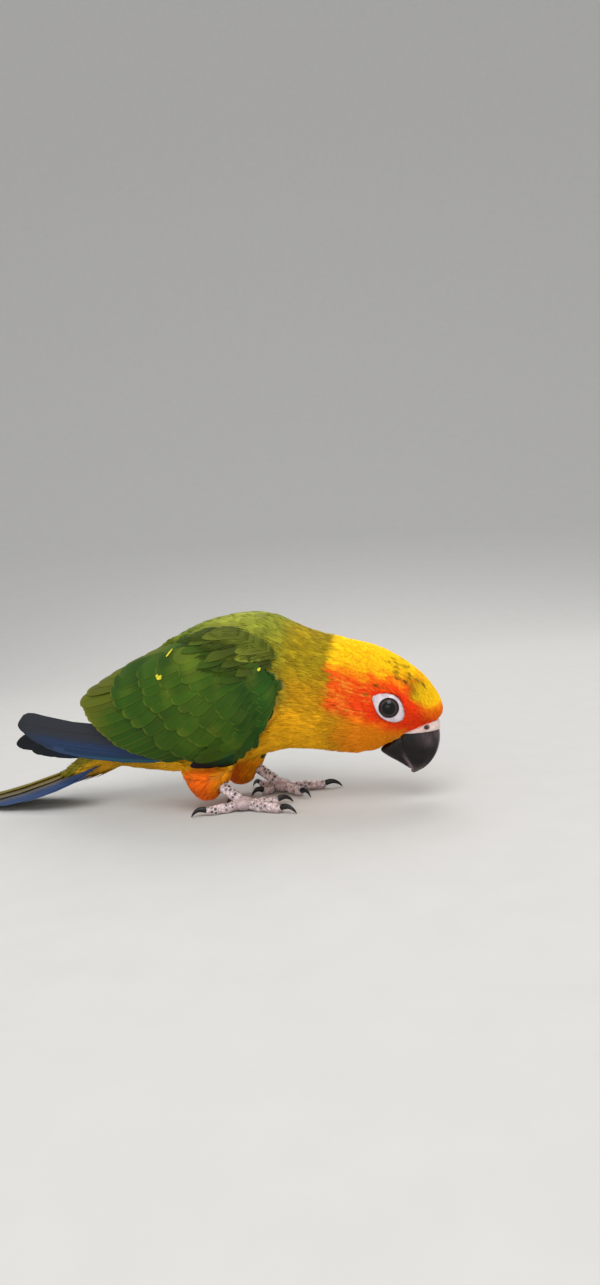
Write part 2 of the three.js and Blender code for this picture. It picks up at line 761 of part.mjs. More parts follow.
// Toe or claw: a limb along the toe's direction from one distance before the foot's centre to another.
function digit(side, turn, from, to, shape, radius, count) {
  const direction = toeDirection(side, turn);
  const sections = shape.map(([share, z, halfSide, halfUp]) => {
    const point = footCentre(side).addScaledVector(direction, mix(from, to, share)).setZ(FLOOR + z);
    return [point, halfSide * radius, halfUp * radius];
  });
  return aboveFloor(limb(sections, count));
}

function bill(sections, grow = 0) {
  const rings = sections.map(([frontX, frontZ, rearX, rearZ, half]) => {
    const front = vector(frontX, 0, frontZ);
    const rear = vector(rearX, 0, rearZ);
    const centre = front.clone().add(rear).multiplyScalar(0.5);
    const up = front.clone().sub(rear);
    const halfUp = up.length() / 2;
    return ovalRing(centre, vector(0, 1, 0), up.normalize(), half + grow, halfUp + grow, 18, BILL_ROUNDNESS);
  });
  return loftSolid(rings);
}

function cere(grow) {
  const tilt = vector(1, 0, CERE_TILT).normalize();
  const rings = CERE.map(([z, x, halfLong, halfSide], index) => {
    const end = index === 0 ? -grow : index === CERE.length - 1 ? grow : 0;
    return ovalRing(vector(x, 0, z + end), tilt, vector(0, 1, 0), halfLong + grow, halfSide + grow, 20);
  });
  return loftSolid(rings);
}

function nostril(side) {
  const hole = new THREE.CylinderGeometry(NOSTRIL.radius, NOSTRIL.radius, NOSTRIL.depth, 10);
  hole.translate(NOSTRIL.x, sideSign(side) * NOSTRIL.y, NOSTRIL.z);
  return solid(hole);
}

// Place and directions of the eye on the side of the head.
function eyeFrame(side) {
  const surface = (x, z) => vector(x, sideSign(side) * bodySide(x, z), z);
  const centre = surface(EYE_X, EYE_Z);
  const ahead = surface(EYE_X + 1, EYE_Z).sub(surface(EYE_X - 1, EYE_Z));
  const above = surface(EYE_X, EYE_Z + 1).sub(surface(EYE_X, EYE_Z - 1));
  const out = ahead.clone().cross(above).normalize();
  if (out.y * sideSign(side) < 0) {
    out.negate();
  }
  const forward = ahead.normalize();
  return { centre, out, forward, up: above.normalize() };
}

function eyeball(side, grow) {
  const { centre, out } = eyeFrame(side);
  const ball = new THREE.SphereGeometry(EYE_RADIUS + grow, grow > 0 ? 12 : 16, grow > 0 ? 8 : 10);
  ball.rotateX(Math.PI / 2);
  const place = centre.clone().addScaledVector(out, -EYE_DEPTH);
  ball.translate(place.x, place.y, place.z);
  return solid(ball);
}

// Bare ring with its two lids, curving away from the eye like the head.
function eyeRing(side, grow) {
  const { centre, out, forward, up } = eyeFrame(side);
  const count = 18;
  const rings = [];
  for (let index = 0; index < count; index += 1) {
    const angle = (index / count) * 2 * Math.PI;
    const direction = forward.clone().multiplyScalar(Math.cos(angle)).addScaledVector(up, Math.sin(angle));
    let reach = LID_OUTER + grow;
    for (const [turn, further, sharpness] of LID_CORNERS) {
      reach += further * Math.max(Math.cos(angle - radians(turn)), 0) ** sharpness;
    }
    const inner = LID_INNER - grow;
    const point = (distance, height) => centre.clone()
      .addScaledVector(direction, distance)
      .addScaledVector(out, height - (distance ** 2 - LID_INNER ** 2) / LID_CURVE);
    rings.push([
      point(inner, 0.9 + grow),
      point(mix(inner, reach, 0.4), 1.25 + grow),
      point(reach, 0.4 + grow),
      point(reach, -0.6 - grow),
      point(mix(inner, reach, 0.4), -0.45 - grow),
      point(inner, 0.2 - grow),
    ]);
  }
  return loftSolid(rings, true);
}

const conure = new THREE.Group();

function addPiece(name, piece, colour, roughness = 0.8) {
  const { vertProperties, triVerts } = largest(piece).getMesh();
  const geometry = new THREE.BufferGeometry();
  geometry.setAttribute('position', new THREE.BufferAttribute(new Float32Array(vertProperties), 3));
  geometry.setIndex(new THREE.BufferAttribute(new Uint32Array(triVerts), 1));
  geometry.computeVertexNormals();
  const material = new THREE.MeshStandardMaterial({ color: colour, roughness, metalness: 0 });
  const mesh = new THREE.Mesh(geometry, material);
  mesh.name = name;
  conure.add(mesh);
}

let torso = bodyPiece(0, NECK_START - gapStep(NECK_START), 0.5);
let head = bodyPiece(HEAD_START + gapStep(HEAD_START), HEAD_END, 0.5);
let neck = bodyPiece(NECK_START, HEAD_START, 0.5);

for (const side of SIDES) {
  const seat = bySide(wingSeat(side), side);
  torso = torso.subtract(seat).subtract(thigh(side, SEAT_GAP));
  neck = neck.subtract(seat);
  addPiece(`wing_${side}`, bySide(wing(side, WING_SEEDS[side]), side), COLOURS.wing);
  const thighPiece = thigh(side, 0).subtract(seat).subtract(tarsus(side, SEAT_GAP));
  addPiece(`thigh_${side}`, thighPiece, COLOURS.thigh);
  addPiece(`tarsus_${side}`, tarsus(side, 0), COLOURS.leg, 0.7);
  for (const [name, turn, length, clawLength] of TOES) {
    const toe = digit(side, turn, TOE_START, length, TOE_SHAPE, TOE_RADIUS, 10);
    const root = length + GAP;
    const claw = digit(side, turn, root, root + clawLength, CLAW_SHAPE, CLAW_RADIUS, 6);
    addPiece(`toe_${name}_${side}`, toe, COLOURS.leg, 0.7);
    addPiece(`claw_${name}_${side}`, claw, COLOURS.claw, 0.35);
  }
  head = head.subtract(eyeball(side, SEAT_GAP)).subtract(eyeRing(side, SEAT_GAP));
  addPiece(`eye_${side}`, eyeball(side, 0), COLOURS.eye, 0.1);
  addPiece(`eyelids_${side}`, eyeRing(side, 0), COLOURS.lid, 0.7);
}

for (const piece of [cere(SEAT_GAP), bill(LOWER_BILL, SEAT_GAP), bill(UPPER_BILL, SEAT_GAP)]) {
  head = head.subtract(piece);
}
let cerePiece = cere(0).subtract(bill(UPPER_BILL, GAP));
for (const side of SIDES) {
  cerePiece = cerePiece.subtract(nostril(side));
}
addPiece('torso', torso, COLOURS.torso);
addPiece('neck', neck, COLOURS.neck);
addPiece('head', head, COLOURS.head);
addPiece('cere', cerePiece, COLOURS.cere, 0.6);
addPiece('bill_upper', bill(UPPER_BILL), COLOURS.bill, 0.4);
addPiece('bill_lower', bill(LOWER_BILL).subtract(bill(UPPER_BILL, GAP)), COLOURS.bill, 0.4);
addPiece('tail', tail(), COLOURS.tail);

// The origin goes to the bottom centre of the whole bird.
const bounds = new THREE.Box3().setFromObject(conure);
const middle = bounds.getCenter(vector(0, 0, 0));
for (const mesh of conure.children) {
  mesh.geometry.translate(-middle.x, -middle.y, -bounds.min.z);
}

export default conure;
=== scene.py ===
"""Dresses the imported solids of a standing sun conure: skin, plumage, bill, eyes, feet and the studio."""
import logging
import math
from collections.abc import Callable
from dataclasses import dataclass, field
from enum import Enum

import bmesh
import bpy
import numpy as np
from mathutils import Matrix, Vector
from mathutils.bvhtree import BVHTree
from mathutils.kdtree import KDTree


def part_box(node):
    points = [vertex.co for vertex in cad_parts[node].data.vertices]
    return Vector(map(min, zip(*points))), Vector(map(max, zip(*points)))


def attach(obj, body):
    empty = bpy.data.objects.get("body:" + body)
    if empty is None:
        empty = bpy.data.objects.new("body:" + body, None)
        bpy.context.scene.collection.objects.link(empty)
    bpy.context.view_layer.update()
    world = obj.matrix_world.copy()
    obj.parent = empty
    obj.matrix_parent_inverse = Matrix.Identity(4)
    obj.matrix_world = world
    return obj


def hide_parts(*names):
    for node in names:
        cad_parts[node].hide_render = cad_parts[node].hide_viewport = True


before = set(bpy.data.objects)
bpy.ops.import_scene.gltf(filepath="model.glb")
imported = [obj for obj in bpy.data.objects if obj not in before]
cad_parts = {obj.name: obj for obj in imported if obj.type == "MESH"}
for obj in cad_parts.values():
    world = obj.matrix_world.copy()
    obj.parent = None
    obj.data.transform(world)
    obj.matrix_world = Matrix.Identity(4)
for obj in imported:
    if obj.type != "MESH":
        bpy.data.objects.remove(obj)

logging.basicConfig(level=logging.INFO, format="%(message)s")
log = logging.getLogger("conure")

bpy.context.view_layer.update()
MM = 0.001
# The tables below are in millimetres in a drawing frame: x = 0 is the top of the bill and the floor is z = 6.
ORIGIN = np.array((132.38, 0.03, -6.0))
FLOOR = 6.0
Array = np.ndarray
BMesh = bmesh.types.BMesh
Material = bpy.types.Material
Mesh = bpy.types.Mesh
Object = bpy.types.Object
Socket = bpy.types.NodeSocket

# Body outline on the middle plane, from the rump to the face: top x, top z, bottom x, bottom z.
BODY = np.array((
    (-161, 43, -151, 24.5), (-149.5, 59, -140, 22.8), (-134.5, 73.5, -127.5, 21.8), (-118, 84, -113, 21.4),
    (-100.5, 90.4, -98, 22.8), (-84, 92.6, -86, 26), (-69.5, 91.2, -75, 28.6), (-57.5, 85, -64.5, 30),
    (-48, 80.5, -54.5, 29.2), (-38.9, 77.5, -44.5, 28), (-30.8, 75.2, -36.5, 27.2), (-21.9, 72.1, -30, 27.2),
    (-14.2, 67.5, -25, 28), (-7.8, 62.6, -20.5, 30.6), (-2.8, 57.6, -16, 34), (0.5, 52.3, -10.5, 36.8),
    (2.6, 47.7, -5, 38.4), (3.3, 43.8, -1, 38.9), (3, 41.4, 1, 39.4)), float)

# Surface under the folded wing's feathers: x, centre z, half height above and below it, half width.
WING_SURFACE = np.array((
    (-225, 47, 22, 26, 9.2), (-210, 47, 22, 26, 9.8), (-190, 46, 20, 28, 12.4), (-175, 45, 20, 30, 15),
    (-160, 46, 22.8, 32, 17.8), (-148, 47, 27.4, 33, 20.4), (-132, 49.5, 31.6, 34, 23.8),
    (-115, 53, 34, 35, 27.8), (-100, 56.6, 35, 35.5, 29.3), (-85, 59.3, 35.2, 35.2, 29.2),
    (-70, 60, 33, 33, 27.8), (-60, 58, 29, 29, 24.5), (-52, 57, 27, 27, 21.5)), float)
WING_CORE = np.array((
    (-60.2, 56, 62), (-62, 50, 65), (-66, 43.5, 68.5), (-74, 35, 74.5), (-84, 28.5, 80.5), (-95, 25.5, 83.5),
    (-106, 27.5, 83.4), (-118, 30.5, 80.6), (-134, 37, 70)), float)
CORE_SLOPE = np.array(((70, 0.3), (80, 1.2), (92, 3.2), (106, 5.2), (120, 6.6), (140, 7.4)), float)
TAIL_LINE = np.array((
    (-156.8, 33.6), (-165, 30), (-176, 25.8), (-190, 21.3), (-207, 16.6), (-226, 12.4), (-246, 9.2),
    (-268, 6.9)), float)
EYE = np.array((-15.7, 47.5))
# Outline of the bare ring: angle from straight ahead, in degrees, and distance from the eye's middle.
RING_OUTLINE = np.array((
    (-172, 5.5), (-150, 5.2), (-133, 5.2), (-112, 5.5), (-92, 6.0), (-74, 6.9), (-60, 7.4), (-48, 7.6),
    (-36, 7.2), (-20, 6.3), (0, 5.6), (22, 5.3), (50, 5.3), (84, 5.5), (108, 6.1), (126, 7.1), (138, 8.0),
    (147, 7.8), (160, 6.6), (175, 5.7)), float)


def to_frame(points: Array) -> Array:
    """Drawing millimetres to metres in the frame."""
    return (np.asarray(points, float) + ORIGIN) * MM


def to_drawing(points: Array) -> Array:
    """Metres in the frame to drawing millimetres."""
    return np.asarray(points, float) / MM - ORIGIN


def ramp(low: float, high: float, value: Array) -> Array:
    """Smooth step of a value from 0 at low to 1 at high."""
    share = np.clip((np.asarray(value, float) - low) / (high - low), 0, 1)
    return share * share * (3 - 2 * share)


def unit(vectors: Array) -> Array:
    """Vectors of length one along the last axis."""
    return vectors / np.maximum(np.linalg.norm(vectors, axis=-1, keepdims=True), 1e-9)


def colour(red: int, green: int, blue: int) -> Array:
    """Linear colour from display values of 0 to 255."""
    value = np.array((red, green, blue), float) / 255
    return np.where(value <= 0.04045, value / 12.92, ((value + 0.055) / 1.055) ** 2.4)


def mixed(first: Array, second: Array, share: Array) -> Array:
    """Colours between two, with one share a point."""
    share = np.asarray(share, float)[..., None]
    return first * (1 - share) + second * share


def painted(base: Array, *coats: tuple[Array, Array]) -> Array:
    """A colour with others laid over it in order.

    Args:
        base: The colour underneath.
        coats: Each colour that goes over it, with its share.

    Returns:
        The colours at the shares' points.
    """
    for coat, share in coats:
        base = mixed(base, coat, share)
    return base


def ripple(points: Array, size: float, seed: int) -> Array:
    """Smooth unevenness over the body.

    Args:
        points: Drawing points.
        size: Rough distance in millimetres over which it repeats.
        seed: Start of the random draw of its waves.

    Returns:
        A number between about -1 and 1 for each point.
    """
    waves = np.random.default_rng(seed)
    total = np.zeros(points.shape[:-1])
    for _ in range(5):
        direction = unit(waves.normal(size=3)) * waves.uniform(0.7, 1.5) * 2 * math.pi / size
        total += np.sin(points @ direction + waves.uniform(0, 6.28))
    return total / 2.6


def smooth_line(points: Array, shares: Array) -> Array:
    """Reads a smooth curve through given points.

    Args:
        points: The points that it goes through.
        shares: Shares of the way along them, from 0 to 1.

    Returns:
        The points of the curve at these shares.
    """
    points = np.asarray(points, float)
    place = np.clip(np.asarray(shares, float), 0, 1) * (len(points) - 1)
    index = np.minimum(place.astype(int), len(points) - 2)
    t = (place - index)[..., None]
    padded = np.vstack((2 * points[0] - points[1], points, 2 * points[-1] - points[-2]))
    a, b, c, d = (padded[index + k] for k in range(4))
    return 0.5 * (2 * b + (c - a) * t + (2 * a - 5 * b + 4 * c - d) * t ** 2
                  + (3 * b - a - 3 * c + d) * t ** 3)


class Side(Enum):
    """Side of the bird, with the sign of its y."""

    RIGHT = -1
    LEFT = 1

    @property
    def label(self) -> str:
        """Word used in the names of pieces."""
        return self.name.lower()

    def turn(self, points: Array) -> Array:
        """Points drawn for the right side, moved to this side."""
        return points * np.array((1, -self.value, 1))


class Shade:
    """Named colours of the bird."""

    crown = colour(255, 205, 8)
    forehead = colour(226, 178, 10)
    fleck = colour(84, 78, 10)
    flame = colour(244, 62, 4)
    orange = colour(250, 122, 6)
    ear = colour(242, 92, 10)
    pale_streak = colour(252, 158, 46)
    chin = colour(236, 138, 4)
    neck_gold = colour(200, 146, 8)
    olive_gold = colour(166, 140, 14)
    breast = colour(236, 172, 10)
    belly = colour(232, 168, 8)
    mantle = colour(134, 138, 38)
    back = colour(100, 116, 24)
    rump = colour(122, 110, 14)
    thigh = colour(246, 108, 0)
    thigh_edge = colour(226, 148, 4)
    vent = colour(186, 136, 6)
    covert = colour(56, 86, 10)
    covert_front = colour(34, 72, 12)
    covert_fringe = colour(120, 128, 30)
    secondary = colour(43, 76, 5)
    secondary_fringe = colour(126, 124, 24)
    wing_edge = colour(14, 66, 42)
    wing_edge_tip = colour(20, 28, 44)
    primary = colour(38, 58, 92)
    primary_inner = colour(50, 52, 58)
    primary_fringe = colour(24, 88, 84)
    tertial = colour(88, 94, 12)
    tail_olive = colour(140, 118, 14)
    tail_brown = colour(84, 78, 34)
    tail_blue = colour(44, 70, 116)
    tail_tip = colour(30, 78, 98)
    yellow_spot = colour(212, 200, 44)
    foot_pale = colour(226, 206, 204)
    foot_grey = colour(52, 44, 50)
    foot_skin = colour(196, 174, 172)
    foot_blush = colour(172, 148, 150)
    foot_crease = colour(66, 56, 60)
    claw = colour(24, 21, 22)
    claw_worn = colour(70, 62, 62)
    bill = colour(14, 8, 7)
    # Worn horn, and also the painted sheen highlight on the bill's upper front.
    bill_worn_and_sheen = colour(122, 102, 106)
    cere = colour(232, 214, 206)
    cere_blush = colour(224, 192, 182)
    # Dark of the cere's creases, and the painted shade in the nostril pits.
    cere_crease_and_pit_shade = colour(34, 24, 22)
    ring = colour(226, 216, 218)
    ring_blush = colour(196, 180, 192)
    # Dark of the ring's creases and rims, and the painted shade at its rear.
    ring_crease_and_shade = colour(46, 36, 42)
    pupil = colour(3, 2, 2)
    iris = colour(34, 23, 20)
    iris_light = colour(70, 56, 54)
    iris_rim = colour(12, 9, 9)
    paper_dark = colour(190, 188, 184)
    paper_light = colour(196, 194, 190)


class WingSurface:
    """Curved surface that the feathers of a folded wing lie on, drawn for the right side."""

    roundness = 2.2

    @classmethod
    def section(cls, x: Array) -> tuple[Array, ...]:
        """Centre height, half heights above and below, and half width at x."""
        return tuple(np.interp(x, WING_SURFACE[:, 0], WING_SURFACE[:, k]) for k in range(1, 5))

    @classmethod
    def angle(cls, x: Array, z: Array) -> Array:
        """Angle in its section of a place in the side view.

        Args:
            x: Its x.
            z: Its height.

        Returns:
            The angle, which is 0 where the section is widest.
        """
        centre, upper, lower, width = cls.section(x)
        half = np.where(z > centre, upper, lower)
        level = np.clip((z - centre) / half, -0.98, 0.98)
        out = width * (1 - np.abs(level) ** cls.roundness) ** (1 / cls.roundness)
        return np.arctan2(level * half, out)

    @classmethod
    def point(cls, x: Array, angle: Array, depth: Array) -> Array:
        """Point under the surface.

        Args:
            x: Its x.
            angle: Its angle in the section there.
            depth: Its depth under the surface.

        Returns:
            The drawing point.
        """
        centre, upper, lower, width = cls.section(x)
        half = np.where(angle > 0, upper, lower)
        cosine, sine = np.cos(angle), np.sin(angle)
        spread = np.abs(cosine / width) ** cls.roundness + np.abs(sine / half) ** cls.roundness
        reach = spread ** (-1 / cls.roundness) - depth
        return np.stack((x + 0 * reach, -reach * cosine, centre + reach * sine), -1)

    @classmethod
    def contains(cls, points: Array) -> Array:
        """Tells the bed of a wing from the rest of the skin.

        Args:
            points: Drawing points of the skin.

        Returns:
            Whether each of them belongs to a wing.
        """
        x, side, z = points[:, 0], np.abs(points[:, 1]), points[:, 2]
        low = np.interp(x, WING_CORE[::-1, 0], WING_CORE[::-1, 1])
        high = np.interp(x, WING_CORE[::-1, 0], WING_CORE[::-1, 2])
        centre = cls.section(x)[0]
        wide = -cls.point(x, cls.angle(x, z), np.zeros_like(x))[:, 1]
        near = side > wide - np.interp(-x, (60, 95, 134), (2.5, 5, 9)) - 2 * (z > centre)
        return (x < -59) & (x > -136) & (z > low - 0.5) & (z < high + 0.5) & near


def loft(bm: BMesh, rings: list[Array], place: Callable = to_frame) -> None:
    """Skins rings of equally many points, from one end face to the other, by extruding the end face.

    Args:
        bm: Mesh that the body is added to.
        rings: Arrays of points, each one ring.
        place: Takes the points to where they belong in the mesh.
    """
    old = [bm.verts.new(p) for p in place(rings[0])]
    face = bm.faces.new(old)
    for number, ring in enumerate(rings[1:]):
        made = bmesh.ops.extrude_face_region(bm, geom=[face])["geom"]
        if number:
            bmesh.ops.delete(bm, geom=[face], context="FACES_ONLY")
        fresh = [None] * len(old)
        for vert in (g for g in made if isinstance(g, bmesh.types.BMVert)):
            source = next(e.other_vert(vert) for e in vert.link_edges if e.other_vert(vert) in old)
            fresh[old.index(source)] = vert
        for vert, spot in zip(fresh, place(ring)):
            vert.co = spot
        old = fresh
        face = next(g for g in made if isinstance(g, bmesh.types.BMFace))


def oval(centre: Array, side: Array, up: Array, count: int,
         roundness: float = 2.0) -> Array:
    """Ring of points round a centre.

    Args:
        centre: Middle of the ring.
        side: Half axis across.
        up: Half axis upwards.
        count: Number of points.
        roundness: 2 for an ellipse, more for a squarer ring.

    Returns:
        The ring's points.
    """
    angle = (np.arange(count) + 0.5) / count * 2 * math.pi
    cosine, sine = np.cos(angle), np.sin(angle)
    across = np.sign(cosine) * np.abs(cosine) ** (2 / roundness)
    upward = np.sign(sine) * np.abs(sine) ** (2 / roundness)
    return centre + across[:, None] * side + upward[:, None] * up


def object_from(bm: BMesh, name: str, material: Material) -> Object:
    """Links a finished mesh to the scene.

    Args:
        bm: Mesh, which is freed.
        name: Name of the piece.
        material: Its finish.

    Returns:
        The new object.
    """
    bmesh.ops.recalc_face_normals(bm, faces=bm.faces[:])
    mesh = bpy.data.meshes.new(name)
    bm.to_mesh(mesh)
    bm.free()
    mesh.polygons.foreach_set("use_smooth", np.ones(len(mesh.polygons), bool))
    mesh.materials.append(material)
    piece = bpy.data.objects.new(name, mesh)
    bpy.context.scene.collection.objects.link(piece)
    return piece


def move_all(bm: BMesh, points: Array) -> None:
    """Moves a mesh's vertices to points of the drawing frame."""
    for vert, place in zip(bm.verts, to_frame(points)):
        vert.co = place


def add_lump(bm: BMesh, place: Array, size: tuple[float, float, float]) -> None:
    """Adds an ellipsoid to a mesh.

    Args:
        bm: Mesh that takes it.
        place: Its centre in the drawing frame.
        size: Its half axes in millimetres.
    """
    matrix = Matrix.Translation(to_frame(place)) @ Matrix.Diagonal((*(half * MM for half in size), 1))
    bmesh.ops.create_icosphere(bm, subdivisions=3, radius=1, matrix=matrix)


def drawn(mesh: Mesh) -> Array:
    """Places of a mesh's vertices.

    Args:
        mesh: The mesh.

    Returns:
        The places in the drawing frame.
    """
    points = np.empty(len(mesh.vertices) * 3, np.float32)
    mesh.vertices.foreach_get("co", points)
    return to_drawing(points.reshape(-1, 3))


def apply_modifiers(piece: Object) -> None:
    """Puts the result of a piece's modifiers into its mesh.

    Args:
        piece: The piece, which keeps no modifier.
    """
    graph = bpy.context.evaluated_depsgraph_get()
    graph.update()
    mesh = bpy.data.meshes.new_from_object(piece.evaluated_get(graph))
    piece.modifiers.clear()
    piece.data = mesh


def set_attribute(mesh: Mesh, name: str, values: Array) -> None:
    """Stores one number or one colour a vertex under a name.

    Args:
        mesh: Mesh that takes it.
        name: The name.
        values: The numbers, or the linear colours.
    """
    values = np.asarray(values, np.float32)
    if values.ndim == 1:
        mesh.attributes.new(name, "FLOAT", "POINT").data.foreach_set("value", values)
        return
    rgba = np.ones((len(values), 4), np.float32)
    rgba[:, :3] = values
    mesh.attributes.new(name, "FLOAT_COLOR", "POINT").data.foreach_set("color", rgba.ravel())


class Nodes:
    """Short hand for the node tree of one material."""

    def __init__(self, name: str) -> None:
        """Starts a material with one Principled shader.

        Args:
            name: Name of the material.
        """
        self.material = bpy.data.materials.new(name)
        self.material.use_nodes = True
        self.tree = self.material.node_tree
        self.shader = next(n for n in self.tree.nodes if n.type == "BSDF_PRINCIPLED")

    def add(self, kind: str, inputs: dict | None = None, **settings: object) -> bpy.types.Node:
        """Adds a node.

        Args:
            kind: Blender's name of the node, without its ShaderNode.
            inputs: Values or output sockets by the name or number of the input.
            settings: Properties of the node.

        Returns:
            The node.
        """
        node = self.tree.nodes.new("ShaderNode" + kind)
        for key, value in settings.items():
            setattr(node, key, value)
        for key, value in (inputs or {}).items():
            self.plug(node, key, value)
        return node

    def plug(self, node: bpy.types.Node, key: str | int, value: object) -> None:
        """Fills one input of a node.

        Args:
            node: The node.
            key: Name or number of the input.
            value: Value to set, colour to set or output to link.
        """
        if isinstance(value, Socket):
            self.tree.links.new(value, node.inputs[key])
        else:
            node.inputs[key].default_value = (*value, 1) if isinstance(value, Array) else value

    def surface(self, inputs: dict) -> None:
        """Fills inputs of the shader by their names."""
        for key, value in inputs.items():
            self.plug(self.shader, key, value)

    def value(self, operation: str, *inputs: object) -> Socket:
        """Result of a Math node."""
        return self.add("Math", dict(enumerate(inputs)), operation=operation).outputs[0]

    def times(self, first: object, second: object) -> Socket:
        """Product of two numbers."""
        return self.value("MULTIPLY", first, second)

    def plus(self, first: object, second: object) -> Socket:
        """Sum of two numbers."""
        return self.value("ADD", first, second)

    def signed(self, share: Socket) -> Socket:
        """A number of 0 to 1 spread over -1 to 1."""
        return self.value("SUBTRACT", self.times(share, 2.0), 1.0)

    def spread(self, share: Socket, low: float, high: float) -> Socket:
        """A number of 0 to 1 spread over low to high."""
        return self.add("MapRange", {"Value": share, "To Min": low, "To Max": high}).outputs[0]

    def step(self, value: Socket, low: float, high: float) -> Socket:
        """Smooth step of a number from 0 at low to 1 at high."""
        inputs = {"Value": value, "From Min": low, "From Max": high}
        return self.add("MapRange", inputs, interpolation_type="SMOOTHSTEP").outputs[0]

    def mix(self, share: object, first: object, second: object) -> Socket:
        """Colour between two."""
        return self.add("Mix", {0: share, 6: first, 7: second}, data_type="RGBA").outputs[2]

    def toned(self, tone: Socket, level: object, saturation: float = 1.0) -> Socket:
        """A colour made darker or lighter, and more or less full."""
        return self.add("HueSaturation", {"Value": level, "Saturation": saturation, "Color": tone}).outputs[0]

    def number(self, name: str) -> Socket:
        """Number that the piece keeps under a name."""
        return self.add("Attribute", attribute_name=name).outputs["Fac"]

    def tint(self, name: str) -> Socket:
        """Colour that the piece keeps under a name."""
        return self.add("Attribute", attribute_name=name).outputs["Color"]

    def vane(self) -> tuple[Socket, Socket]:
        """Places across and along a vane, from the piece's own map."""
        parts = self.add("SeparateXYZ", {0: self.add("UVMap", uv_map="Vane").outputs[0]})
        return parts.outputs[0], parts.outputs[1]

    def noise(self, scale: float, detail: float = 2, source: object = None) -> Socket:
        """Noise over the piece's own coordinates, with the scale per metre."""
        where = source or self.add("TexCoord").outputs["Object"]
        return self.add("TexNoise", {"Vector": where, "Scale": scale, "Detail": detail}).outputs[0]

    def bump(self, height: Socket, distance: float, strength: float = 1) -> None:
        """Raises the surface by a height of up to this distance in metres."""
        node = self.add("Bump", {"Height": height, "Distance": distance, "Strength": strength})
        self.plug(self.shader, "Normal", node.outputs[0])


@dataclass(frozen=True)
class Finish:
    """What every finish shares: its name and the making of its material."""

    name: str

    def build(self) -> Material:
        """Makes the material.

        Returns:
            The material, dressed in the finish's own way.
        """
        nodes = Nodes(self.name)
        self.dress(nodes)
        return nodes.material

    def dress(self, n: Nodes) -> None:
        """Fills the material's nodes, which each finish does in its own way."""
        raise NotImplementedError(self.name)


@dataclass(frozen=True)
class Plumage(Finish):
    """Finish of feathers: main colour, fringe, shaft and barbs from the vane's own map."""

    barbs: float
    comb: float
    fringe: float
    fringe_from: float
    shaft: float
    roughness: float = 0.7
    contrast: float = 0.3
    slope: float = 0.16
    wander: float = 1400
    streaks: float = 3200
    dark: float = 0.58
    light: float = 1.25

    def dress(self, n: Nodes) -> None:
        """Fills the material's nodes.

        Args:
            n: The nodes.
        """
        across, along = n.vane()
        aside = n.value("ABSOLUTE", n.signed(across))
        bend = n.times(n.value("SQRT", aside), self.barbs * self.slope)
        slant = n.value("SUBTRACT", n.times(along, self.barbs), bend)
        comb = n.value("SINE", n.plus(n.times(slant, 6.283), n.times(n.noise(self.wander), 7.0)))
        edge = n.value("MAXIMUM", n.value("POWER", aside, 2.5), n.value("POWER", along, 4.0))
        rim = n.step(edge, self.fringe_from, 1.0)
        base = n.mix(n.times(rim, self.fringe), n.tint("Tint"), n.tint("Fringe"))
        darker = n.toned(base, self.dark)
        lighter = n.toned(base, self.light, 0.97)
        streak = n.mix(n.step(n.noise(self.streaks, 3), 0.3, 0.7), darker, lighter)
        combed = n.mix(n.step(comb, -1.0, 1.0), darker, lighter)
        grained = n.mix(self.comb, n.mix(self.contrast, base, streak), combed)
        rooted = n.mix(n.times(n.step(along, 0.6, 0.1), self.contrast), grained, darker)
        level = n.spread(n.number("Lot"), 1 - 0.4 * self.contrast, 1 + 0.4 * self.contrast)
        varied = n.toned(rooted, level)
        quill = n.times(n.step(aside, 0.07, 0.02), self.shaft)
        n.surface({"Base Color": n.mix(quill, varied, darker), "Roughness": self.roughness,
                   "Specular IOR Level": 0.14})
        n.bump(n.plus(n.times(comb, self.comb * 2), n.times(quill, 2.0)), 0.00005, 0.6)


@dataclass(frozen=True)
class Hide(Finish):
    """Finish of the skin under the feathers, which takes the plumage's own markings, darkened."""

    dark: float = 0.66
    light: float = 0.95

    def dress(self, n: Nodes) -> None:
        """Fills the material's nodes.

        Args:
            n: The nodes.
        """
        down = n.noise(2600, 4)
        tone = n.tint("Tint")
        n.surface({"Base Color": n.mix(down, n.toned(tone, self.dark), n.toned(tone, self.light)),
                   "Roughness": 0.9})
        n.bump(down, 0.0003)


@dataclass(frozen=True)
class Horn(Finish):
    """Finish of bill and claws: dark horn with growth layers, paler where its wear and sheen attribute says:
    real wear, and on the bill's upper front a painted sheen highlight.
    """

    main: Array
    worn_and_sheen: Array
    roughness: float
    layers: float
    dust: float = 0.12

    def dress(self, n: Nodes) -> None:
        """Fills the material's nodes.

        Args:
            n: The nodes.
        """
        place = n.add("TexCoord").outputs["Object"]
        stretched = n.add("Mapping", {0: place, 3: (1.0, 1.0, 0.3)}).outputs[0]
        streak = n.noise(self.layers, 5, stretched)
        fine = n.noise(self.layers * 4, 3, stretched)
        worn_and_sheen = n.times(n.number("WearAndSheen"), n.step(streak, 0.25, 0.75))
        dust = n.times(n.step(fine, 0.6, 0.78), self.dust)
        n.surface({"Base Color": n.mix(n.value("MAXIMUM", worn_and_sheen, dust), self.main, self.worn_and_sheen),
                   "Roughness": n.spread(streak, self.roughness - 0.08, self.roughness + 0.14),
                   "Specular IOR Level": 0.3})
        n.bump(n.plus(streak, n.times(fine, 0.4)), 0.00012, 0.8)


